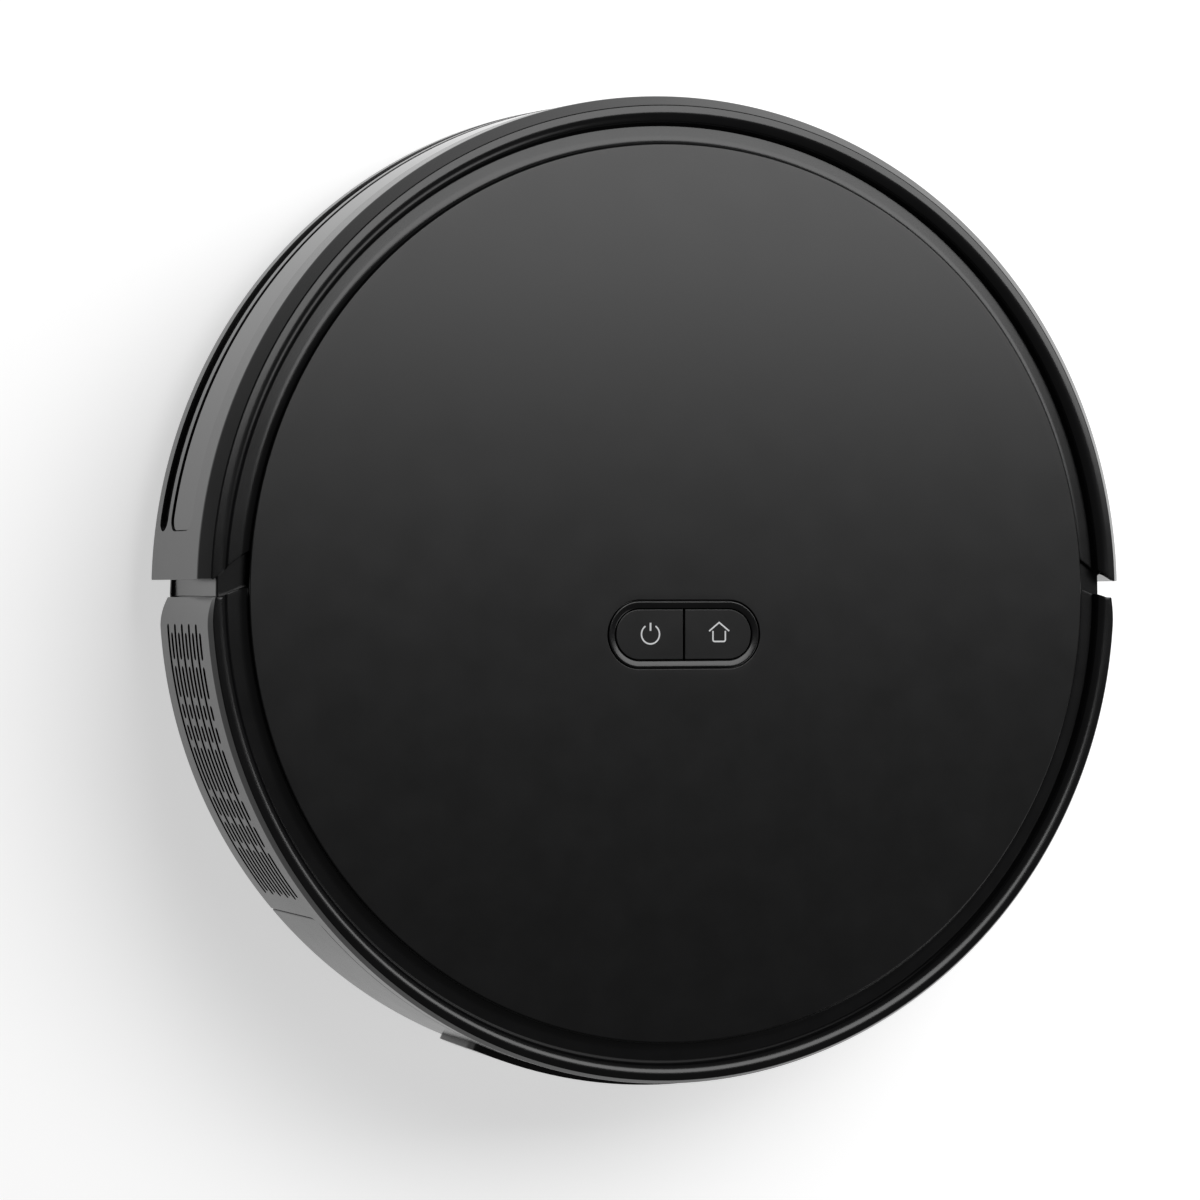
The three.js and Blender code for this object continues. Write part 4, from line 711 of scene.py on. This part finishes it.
def ribbon(points, width):
    """Closed outline of a stroke of constant width along a line, with mitred corners."""
    left, right = [], []
    for i, p in enumerate(points):
        a = Vector(points[max(i - 1, 0)])
        b = Vector(points[min(i + 1, len(points) - 1)])
        p = Vector(p)
        before = (p - a).normalized() if i > 0 else (b - p).normalized()
        after = (b - p).normalized() if i < len(points) - 1 else before
        middle = (before + after).normalized()
        normal = Vector((-middle.y, middle.x))
        reach = width / 2 / max(normal.dot(Vector((-before.y, before.x))), 0.3)
        left.append(tuple(p + normal * reach))
        right.append(tuple(p - normal * reach))
    return left + right[::-1]


INK_LOW = button_high.z - 0.1
INK_HIGH = button_high.z + 0.04
STROKE = 0.5
ring_x, ring_y, ring_r = -11.8, -13.3, 3.15
gap_angle = math.radians(34)
power_arc = [
    (ring_x + ring_r * math.sin(t), ring_y + ring_r * math.cos(t))
    for t in [gap_angle + (2 * math.pi - 2 * gap_angle) * k / 48 for k in range(49)]
]
house = rounded([(10.2, -12.3), (10.2, -15.75), (14.6, -15.75), (14.6, -12.3)],
                [0, 0.7, 0.7, 0], steps=5)
icon_strokes = {
    "power_button": [
        ribbon(power_arc, STROKE),
        ribbon([(ring_x, -9.6), (ring_x, -12.2)], STROKE + 0.1),
    ],
    "home_button": [
        ribbon([(8.85, -12.35), (12.4, -9.55), (15.95, -12.35)], STROKE),
        ribbon(house, STROKE),
    ],
}
for name, side in (("power_button", -1), ("home_button", 1)):
    cap = finish_mesh(name + "_cap", prism(half_pill(side), button_low.z, button_high.z),
                      name, "panel_black", [name])
    bevel(cap, 0.3, angle=40, segments=3)
    for i, stroke in enumerate(icon_strokes[name]):
        finish_mesh(f"{name}_icon_{i + 1}", prism(stroke, INK_LOW, INK_HIGH), name,
                    material=WHITE_INK)


# ------------------------------------------------------------------ bumper and its window
bumper_shell = finish_mesh(
    "bumper_shell", sweep(bumper_profile, front_end, lambda r: 180 - front_end(r)),
    "bumper", "satin_black", ["bumper"])
a0, a1 = WINDOW_END, 180 - WINDOW_END
boolean(bumper_shell, [
    patch(lambda z: bumper_radius(z) - 8, lambda z: bumper_radius(z) + 5, a0, a1,
          WINDOW_BOTTOM, WINDOW_TOP, 4.5),
])
boolean(bumper_shell, [
    patch(lambda z: bumper_radius(z) - 1.1, lambda z: bumper_radius(z) + 5, a0 - 0.05, a1 + 0.05,
          WINDOW_BOTTOM - 2.3, WINDOW_TOP + 0.1, 5.0),
    patch(lambda z: bumper_radius(z) - 1.6, lambda z: bumper_radius(z) + 5, a0, a1,
          SLOT_BOTTOM, SLOT_TOP, 3.9),
])
window = finish_mesh("infrared_window", patch(
    lambda z: bumper_radius(z) - 2.0, lambda z: bumper_radius(z) - 0.15,
    a0 + 0.06, a1 - 0.06, WINDOW_BOTTOM + 0.12, WINDOW_TOP - 0.12, 4.4),
    "bumper", "window_black", ["ir_window"])
bevel(window, 0.35, angle=40, segments=3)


# ------------------------------------------------------------------ rear shell
CORNER_LENGTH = 10.0
CORNER_DEPTH = 0.85


def soft_corner(r, from_end):
    """The rear wall turns inwards over its last millimetres beside the bumper."""
    turned = CORNER_DEPTH * max(0, 1 - from_end / CORNER_LENGTH) ** 2
    root = rear_inner + 0.3
    return r if r < root else root + (r - root) * (1 - turned)


rear_wall = finish_mesh("rear_wall", sweep(
    rear_profile, lambda r: 180 - rear_end(r), lambda r: 360 + rear_end(r), warp=soft_corner),
                        "root", "satin_black", ["rear_shell"])


def wall_cut(lo, hi, z0, z1, corner):
    return patch(lambda z: REAR_RIM_OUTER - 6, lambda z: REAR_RADIUS + 4, lo, hi, z0, z1, corner)


# vent field: full slots and dashes in turn; angles in degrees behind the X axis
VENT_SLOT = 2.3
VENT_ROWS = 10
VENT_FIRST = 27.2
VENT_PITCH = 4.1
VENT_START = 3.5
VENT_END = 37.4
RIGHT_VENT_START = 17.7  # clear of the inlet and the rocker
DASH_START = 4.5
DASH_BREAKS = (7.98, 12.4, 14.9, 17.55, 23.7, 26.95, 30.4)
BREAK_HALF = 0.375
slot_corner = VENT_SLOT / 2 - 0.02
vents = []
dash_edges = [DASH_START]
for place in DASH_BREAKS:
    dash_edges += [place - BREAK_HALF, place + BREAK_HALF]
dash_edges.append(VENT_END - 0.4)
for row in range(VENT_ROWS):
    z = VENT_FIRST + row * VENT_PITCH - VENT_SLOT / 2
    if row % 2 == 0:
        vents.append(wall_cut(180 + VENT_START, 180 + VENT_END, z, z + VENT_SLOT, slot_corner))
        vents.append(wall_cut(360 - VENT_END, 360 - RIGHT_VENT_START,
                              z, z + VENT_SLOT, slot_corner))
    else:
        for lo, hi in zip(dash_edges[::2], dash_edges[1::2]):
            vents.append(wall_cut(180 + lo, 180 + hi, z, z + VENT_SLOT, slot_corner))
        vents.append(wall_cut(360 - VENT_END + 1, 360 - RIGHT_VENT_START - 1,
                              z, z + VENT_SLOT, slot_corner))

boolean(rear_wall, [wall_cut(REAR_MIDDLE - COVER_HALF, REAR_MIDDLE + COVER_HALF,
                             -12, COVER_TOP + COVER_TOP_GAP, 5)])
boolean(rear_wall, vents)


def radial_bar(radius, angle, r0, r1, z, steps=48):
    bm = lathe([(0, r0), (radius, r0), (radius, r1), (0, r1)], steps=steps, closed=False)
    bmesh.ops.rotate(bm, verts=bm.verts, matrix=Matrix.Rotation(math.pi / 2, 3, "Y"))
    bmesh.ops.rotate(bm, verts=bm.verts, matrix=Matrix.Rotation(math.radians(angle), 3, "Z"))
    bmesh.ops.translate(bm, verts=bm.verts, vec=(0, 0, z))
    return bm


def radial_slab(half, height, angle, r0, r1, z):
    bm = prism([(r0, -half), (r1, -half), (r1, half), (r0, half)], z - height / 2, z + height / 2)
    bmesh.ops.rotate(bm, verts=bm.verts, matrix=Matrix.Rotation(math.radians(angle), 3, "Z"))
    return bm


CONTROLS_Z = 47  # height of the charging inlet and the power rocker


def control_openings():
    """Cutters for the charging inlet and the power rocker."""
    reach = (DRUM_RADIUS - 8, BODY_RADIUS + 5, CONTROLS_Z)
    return [radial_bar(5.8, -6.5, *reach), radial_slab(10.1, 13, -13, *reach)]


boolean(rear_wall, control_openings())


# ------------------------------------------------------------------ dust bin cover and release
LATCH_HALF = 5.38  # degrees
LATCH_OPENING = 5.5  # degrees
cover_profile = rounded([
    (rear_radius(COVER_TOP), COVER_TOP),
    (REAR_RADIUS, REAR_BOTTOM),
    (REAR_RADIUS - 2.4, REAR_BOTTOM - 0.9),
    (rear_inner, REAR_BOTTOM),
    (rear_inner, COVER_TOP),
], [0.7, 1.0, 0.4, 0, 0.4], steps=5)
cover = finish_mesh("bin_cover_shell", sweep(
    cover_profile, lambda r: REAR_MIDDLE - COVER_HALF + COVER_SIDE_GAP,
    lambda r: REAR_MIDDLE + COVER_HALF - COVER_SIDE_GAP),
    "dust_bin", "satin_black", ["bin_cover"])
grip = patch(lambda z: rear_inner + 1, lambda z: GRIP_RADIUS - max(0, z - 50) * 0.03,
             REAR_MIDDLE - GRIP_HALF, REAR_MIDDLE + GRIP_HALF, REAR_BOTTOM + 2, COVER_TOP - 8, 7)
boolean(cover, [grip], "UNION")
boolean(cover, [
    patch(lambda z: GRIP_RADIUS - 1.4, lambda z: BODY_RADIUS + 5,
          REAR_MIDDLE - GRIP_HALF + 3, REAR_MIDDLE + GRIP_HALF - 3,
          REAR_BOTTOM + 8, REAR_BOTTOM + 11, 1.45),
    patch(lambda z: rear_inner - 3, lambda z: BODY_RADIUS + 5,
          REAR_MIDDLE - LATCH_OPENING, REAR_MIDDLE + LATCH_OPENING,
          latch_low.z - GAP, latch_high.z + GAP, 2.5),
])
bevel(cover, 0.5, angle=50, segments=3)
latch = finish_mesh("bin_release", patch(
    lambda z: -latch_high.y, lambda z: GRIP_RADIUS - 0.2,
    REAR_MIDDLE - LATCH_HALF, REAR_MIDDLE + LATCH_HALF,
    latch_low.z, latch_high.z, 2.3), "bin_button", "satin_black", ["bin_button"])
bevel(latch, 0.4, angle=40, segments=3)


# ------------------------------------------------------------------ drum and deck
DECK_TOP = PANEL_BOTTOM - GAP
LEDGE_TOP = GROOVE_FLOOR - 1.5
DECK_RADIUS = FLANGE_INNER - 5
DRUM_WALL = 2.4
BASE_RIM_TOP = base_low.z + 7.7
drum = finish_mesh("drum_and_deck", lathe(rounded([
    (0, DECK_TOP - 2),
    (DECK_RADIUS - 2, DECK_TOP - 2),
    (DECK_RADIUS - 2, LEDGE_TOP - 2),
    (DRUM_RADIUS - DRUM_WALL, LEDGE_TOP - 2),
    (DRUM_RADIUS - DRUM_WALL, BASE_RIM_TOP + GAP),
    (DRUM_RADIUS, BASE_RIM_TOP + GAP),
    (DRUM_RADIUS, LEDGE_TOP),
    (DECK_RADIUS, LEDGE_TOP),
    (DECK_RADIUS, DECK_TOP),
    (0, DECK_TOP),
], [0, 0, 0, 0, 0.4, 0.4, 0.8, 0.5, 0.6, 0], steps=4), steps=240, closed=False),
    "root", "satin_black", ["upper_housing"])


def vent_passage(lo, hi):
    """Cutter for the drum's opening behind a vent field, between two angles."""
    return patch(lambda z: DRUM_RADIUS - 8, lambda z: DRUM_RADIUS + 4, lo, hi, 24.2, 68.2, 0.5)


def slab(x0, x1, y0, y1, z0, z1):
    return prism([(x0, y0), (x1, y0), (x1, y1), (x0, y1)], z0, z1)


boolean(drum, [
    slab(-64, 64, -BODY_RADIUS, -DRUM_RADIUS + 60, 0, COVER_TOP + 1),
    vent_passage(180 + VENT_START + 1, 180 + VENT_END - 1),
    vent_passage(360 - VENT_END + 1, 360 - RIGHT_VENT_START - 1),
    prism(pill_points(PILL_LENGTH - 2 * BEZEL_WIDTH, PILL_WIDTH - 2 * BEZEL_WIDTH, PILL_Y),
          DECK_TOP - 4, DECK_TOP + 2),
    *control_openings(),
])

# ------------------------------------------------------------------ underside
FLOOR_CLEAR = base_low.z
BRUSH_HUB = 125 * math.sqrt(0.5)  # each brush axis along X and along Y
refined("base_chassis", edge=0.35, angle=50)
for name in ("battery_door", "brush_guard", "roller_gearbox", "roller_bearing", "main_board",
             "control_board", "caster_fork", "bin_tub", "bin_door", "filter_frame",
             "fan_housing", "fan_impeller", "fan_motor", "dc_jack", "power_rocker",
             "caster_axle", "battery_pack"):
    refined(name, edge=0.3)

TREAD_GROOVES = 20
GROOVE_DEPTH = 1.7
GROOVE_HALF = 0.95
CHEVRON_SHIFT = 3.4


def ribbed_tyre(side):
    """Round-shouldered rubber tyre with chevron grooves across its tread."""
    low, high = (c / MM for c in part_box(f"tyre_{side}"))
    hub_low, hub_high = (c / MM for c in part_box(f"wheel_hub_{side}"))
    centre = (low + high) / 2
    half = (high.x - low.x) / 2
    radius = (high.z - low.z) / 2
    bore = (hub_high.z - hub_low.z) / 2 + GAP
    section = rounded([(bore, -half), (radius, -half), (radius, half), (bore, half)],
                      [0.4, 2.2, 2.2, 0.4], steps=5)
    tyre = finish_mesh(f"tyre_{side}_piece", lathe(section, steps=160, axis="X", centre=centre),
                       body_of[f"tyre_{side}"], "tyre", [f"tyre_{side}"], sharp=34)
    grooves = []
    for k in range(TREAD_GROOVES):
        reach, shift, wide = half + 1, CHEVRON_SHIFT, GROOVE_HALF
        groove = prism([(-reach, -wide), (0, shift - wide), (reach, -wide),
                        (reach, wide), (0, shift + wide), (-reach, wide)],
                       radius - GROOVE_DEPTH, radius + 1)
        turned = Matrix.Rotation(2 * math.pi * (k + 0.5) / TREAD_GROOVES, 3, "X")
        bmesh.ops.rotate(groove, verts=groove.verts, matrix=turned)
        bmesh.ops.translate(groove, verts=groove.verts, vec=centre)
        grooves.append(groove)
    boolean(tyre, grooves, sharp=34)
    bevel(tyre, 0.25, angle=50, segments=2, sharp=34)


for side in ("left", "right"):
    ribbed_tyre(side)
    refined(f"wheel_hub_{side}", edge=0.4)
    refined(f"wheel_arm_{side}", edge=0.5)
    refined(f"charging_contact_{side}", edge=0.4, segments=3)
    refined(f"battery_door_screw_{side}", edge=0.15)
    refined(f"side_brush_motor_{side}", edge=0.4)
    refined(f"side_brush_screw_{side}", edge=0.12)
    refined(f"wheel_pivot_pin_{side}", edge=0.3)
for i in range(1, 5):
    refined(f"base_screw_{i}", edge=0.2)
for side in ("left", "front", "right"):
    refined(f"cliff_sensor_{side}", edge=0.4, segments=3)
refined("caster_wheel", edge=0.5, sharp=30, angle=40)
refined("hepa_filter", edge=0)


# ------------------------------------------------------------------ springs, brushes, bristles
def tube(points, radius, sides=8):
    """Round wire through a line of points."""
    bm = bmesh.new()
    rings = []
    for i, p in enumerate(points):
        p = Vector(p)
        ahead = Vector(points[min(i + 1, len(points) - 1)])
        along = (ahead - Vector(points[max(i - 1, 0)])).normalized()
        across = along.orthogonal() if i == 0 else across - along * across.dot(along)
        across = across.normalized()
        other = along.cross(across)
        rings.append([bm.verts.new(p + (across * math.cos(2 * math.pi * k / sides)
                                        + other * math.sin(2 * math.pi * k / sides)) * radius)
                      for k in range(sides)])
    for a, b in zip(rings, rings[1:]):
        for k in range(sides):
            bm.faces.new((a[k], a[(k + 1) % sides], b[(k + 1) % sides], b[k]))
    bm.faces.new(rings[0])
    bm.faces.new(rings[-1])
    return bm


def coil(name, axis, radius, wire, turns, shorter=0.0):
    """Coil spring in the box of its CAD node along one axis, shorter by a length at the far end."""
    low, high = (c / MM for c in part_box(name))
    high[axis] -= shorter
    middle = (low + high) / 2
    length = (high - low)[axis] - 2 * wire
    points = []
    steps = turns * 20
    for k in range(steps + 1):
        t = k / steps
        eased = min(max((t - 0.08) / 0.84, 0), 1)
        a = 2 * math.pi * turns * t
        p = Vector((math.cos(a) * radius, math.sin(a) * radius, (eased - 0.5) * length))
        if axis == 1:
            p = Vector((p.x, p.z, p.y))
        points.append(middle + p)
    finish_mesh(name + "_coil", tube(points, wire), body_of[name], "steel", [name], sharp=60)


BUMPER_TRAVEL = 4.0
for side in ("left", "right"):
    coil(f"suspension_spring_{side}", 2, 4.3, 0.65, 7)
    coil(f"bumper_spring_{side}", 1, 3.2, 0.5, 6, shorter=BUMPER_TRAVEL + GAP)


def bristle_mesh(strands, width):
    """Many thin tapering bristles, each from a root to a tip point."""
    bm = bmesh.new()
    for root, tip in strands:
        root, tip = Vector(root), Vector(tip)
        along = (tip - root).normalized()
        across = along.orthogonal().normalized()
        other = along.cross(across)
        base_ring = [bm.verts.new(root + (across * math.cos(a) + other * math.sin(a)) * width)
                     for a in (0, 2.094, 4.189)]
        tip_ring = [bm.verts.new(tip + (across * math.cos(a) + other * math.sin(a)) * width * 0.6)
                    for a in (0, 2.094, 4.189)]
        for k in range(3):
            bm.faces.new((base_ring[k], base_ring[(k + 1) % 3], tip_ring[(k + 1) % 3], tip_ring[k]))
        bm.faces.new(tip_ring)
        bm.faces.new(base_ring)
    return bm


def scatter(i, k):
    """Repeatable value from -1 to 1 for a pair of numbers, with no random draw."""
    return math.sin(i * 12.9898 + k * 78.233) * 43758.5453 % 1 * 2 - 1


BRUSH_ARMS = 3
BRISTLES_PER_ARM = 90
BRUSH_REACH = 49.3
for side, s in (("left", -1), ("right", 1)):
    body = f"side_brush_{side}"
    cx, cy = s * BRUSH_HUB, BRUSH_HUB
    g = FLOOR_CLEAR
    hub = lathe(rounded([
        (3.2, g - 3.2), (6, g - 3.2), (12, g - 0.8), (12, g + 2.8), (2.4, g + 2.8),
        (2.4, g - 1), (3.2, g - 1.4)], [0.3, 0.5, 1.2, 0.4, 0.2, 0, 0], steps=4), steps=72)
    bmesh.ops.translate(hub, verts=hub.verts, vec=(cx, cy, 0))
    finish_mesh(f"side_brush_hub_{side}", hub, body, "bristle", [body], sharp=40)
    park = math.atan2(-cy, -cx)
    strands = []
    for arm in range(BRUSH_ARMS):
        a = park + arm * 2 * math.pi / BRUSH_ARMS
        outward = Vector((math.cos(a), math.sin(a), 0))
        across = Vector((-math.sin(a), math.cos(a), 0))
        centre = Vector((cx, cy, 0))

        def at(r, w, z):
            return centre + outward * r + across * w + Vector((0, 0, z))

        stem = bmesh.new()
        marks = [(8, 2.0, g - 1.4, 1.6), (14, 1.8, g - 2.0, 1.4), (21, 1.6, g - 3.0, 1.1)]
        rings = []
        for r, half, z, thick in marks:
            rings.append([stem.verts.new(at(r, w, z + h)) for w, h in (
                (-half, -thick / 2), (-half * 0.5, -thick), (half * 0.5, -thick),
                (half, -thick / 2), (half, thick / 2), (half * 0.5, thick),
                (-half * 0.5, thick), (-half, thick / 2))])
        for p, q in zip(rings, rings[1:]):
            for k in range(8):
                stem.faces.new((p[k], p[(k + 1) % 8], q[(k + 1) % 8], q[k]))
        stem.faces.new(rings[0])
        stem.faces.new(rings[-1])
        finish_mesh(f"side_brush_stem_{side}_{arm + 1}", stem, body, "rubber", sharp=50)
        for i in range(BRISTLES_PER_ARM):
            u, v = scatter(i, arm + 1), scatter(i, arm + 11)
            reach = BRUSH_REACH - abs(scatter(i, arm + 21)) * 1.2
            strands.append((at(20.4, u * 1.1, g - 3.0 + v * 0.5),
                            at(reach, u * 4.8, g - 6.3 + v * 0.8)))
    finish_mesh(f"side_brush_bristles_{side}", bristle_mesh(strands, 0.17), body, "bristle",
                sharp=80)

refined("main_roller", edge=0.2, sharp=30, angle=40)
roller_low, roller_high = (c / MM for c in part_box("main_roller"))
ROLLER_Y = (roller_low.y + roller_high.y) / 2
ROLLER_Z = (roller_low.z + roller_high.z) / 2
roller_start, roller_end = roller_low.x + 2, roller_high.x - 6
ROLLER_ROWS = 5
TUFTS_PER_ROW = 150
ROLLER_CORE = 8.0  # radius at the bristles' roots
ROLLER_REACH = 15.6  # radius at their tips
TWIST = 1.1  # how far a row turns towards the middle, in radians
strands = []
for row in range(ROLLER_ROWS):
    for i in range(TUFTS_PER_ROW):
        t = i / (TUFTS_PER_ROW - 1)
        x = roller_start + (roller_end - roller_start) * t
        a = (TWIST * (1 - abs(2 * t - 1)) + (row + 0.5) * 2 * math.pi / ROLLER_ROWS
             + scatter(i, row) * 0.05)
        lean = a + scatter(i, row + 9) * 0.06
        strands.append((
            (x, ROLLER_Y + ROLLER_CORE * math.cos(a), ROLLER_Z + ROLLER_CORE * math.sin(a)),
            (x + scatter(i, row + 5) * 0.5,
             ROLLER_Y + ROLLER_REACH * math.cos(lean), ROLLER_Z + ROLLER_REACH * math.sin(lean)),
        ))
finish_mesh("roller_bristles", bristle_mesh(strands, 0.22), "main_roller", "bristle", sharp=80)


# ------------------------------------------------------------------ stage, lights and camera
def emitter(name, size, location, target, power):
    """Rectangular soft light aimed at a point."""
    data = bpy.data.lights.new(name, "AREA")
    data.shape = "RECTANGLE"
    data.size, data.size_y = size
    data.energy = power
    lamp = bpy.data.objects.new(name, data)
    lamp.location = location
    lamp.rotation_mode = "QUATERNION"
    lamp.rotation_quaternion = (Vector(target) - Vector(location)).to_track_quat("-Z", "Y")
    bpy.context.scene.collection.objects.link(lamp)


def sheet_at(name, x0, x1, y0, y1, z, material):
    mesh = bpy.data.meshes.new(name)
    mesh.from_pydata([(x0, y0, z), (x1, y0, z), (x1, y1, z), (x0, y1, z)], [], [(0, 1, 2, 3)])
    mesh.materials.append(material)
    thing = bpy.data.objects.new(name, mesh)
    bpy.context.scene.collection.objects.link(thing)


def pale_floor(level, glow):
    """Even pale floor that shadows fall on, clear from below to show the underside."""
    material, tree, shader = new_material("floor")
    shader.inputs["Base Color"].default_value = (level, level, level, 1)
    shader.inputs["Roughness"].default_value = 0.9
    shader.inputs["Specular IOR Level"].default_value = 0.0
    shader.inputs["Emission Color"].default_value = (1, 1, 1, 1)
    shader.inputs["Emission Strength"].default_value = glow
    through = tree.nodes.new("ShaderNodeBsdfTransparent")
    side = tree.nodes.new("ShaderNodeNewGeometry")
    choose = tree.nodes.new("ShaderNodeMixShader")
    tree.links.new(side.outputs["Backfacing"], choose.inputs["Fac"])
    tree.links.new(shader.outputs["BSDF"], choose.inputs[1])
    tree.links.new(through.outputs["BSDF"], choose.inputs[2])
    tree.links.new(choose.outputs["Shader"], tree.nodes["Material Output"].inputs["Surface"])
    return material


FLOOR_HALF = 4
FLOOR_Z = -0.0004
sheet_at("floor", -FLOOR_HALF, FLOOR_HALF, -FLOOR_HALF, FLOOR_HALF, FLOOR_Z,
         pale_floor(level=0.85, glow=0.55))

# even surround: pale where the camera sees it, low as a light
world = bpy.data.worlds.new("studio")
bpy.context.scene.world = world
world.use_nodes = True
tree = world.node_tree
tree.nodes.clear()
shown = tree.nodes.new("ShaderNodeBackground")
shown.inputs["Color"].default_value = (0.95, 0.95, 0.95, 1)
lit = tree.nodes.new("ShaderNodeBackground")
lit.inputs["Color"].default_value = (1, 1, 1, 1)
lit.inputs["Strength"].default_value = 0.08
path = tree.nodes.new("ShaderNodeLightPath")
choose = tree.nodes.new("ShaderNodeMixShader")
out = tree.nodes.new("ShaderNodeOutputWorld")
tree.links.new(path.outputs["Is Camera Ray"], choose.inputs["Fac"])
tree.links.new(lit.outputs["Background"], choose.inputs[1])
tree.links.new(shown.outputs["Background"], choose.inputs[2])
tree.links.new(choose.outputs["Shader"], out.inputs["Surface"])

emitter("key", (1.7, 1.05), (0.66, 0.72, 1.2), (0.66, 0.72, 0), 20.5)
emitter("fill", (0.9, 0.6), (1.3, -0.7, 0.5), (0, 0, 0.03), 3)

TILT = math.radians(21.17)
SHIFT_RIGHT, SHIFT_UP, DISTANCE = 0.0275, 0.0022, 1.149
right = Vector((math.cos(TILT), 0, math.sin(TILT)))
up = Vector((0, 1, 0))
back = Vector((-math.sin(TILT), 0, math.cos(TILT)))
camera_data = bpy.data.cameras.new("camera")
camera_data.sensor_width = 36
camera_data.lens = 105.9
camera_data.clip_start = 0.05
camera_data.clip_end = 20
camera = bpy.data.objects.new("camera", camera_data)
bpy.context.scene.collection.objects.link(camera)
camera.matrix_world = Matrix((
    (right.x, up.x, back.x, 0),
    (right.y, up.y, back.y, 0),
    (right.z, up.z, back.z, 0),
    (0, 0, 0, 1),
))
camera.location = (Vector((0, 0, PANEL_TOP * MM)) - right * SHIFT_RIGHT - up * SHIFT_UP
                   + back * DISTANCE)
bpy.context.scene.camera = camera
bpy.context.scene.view_settings.view_transform = "Standard"
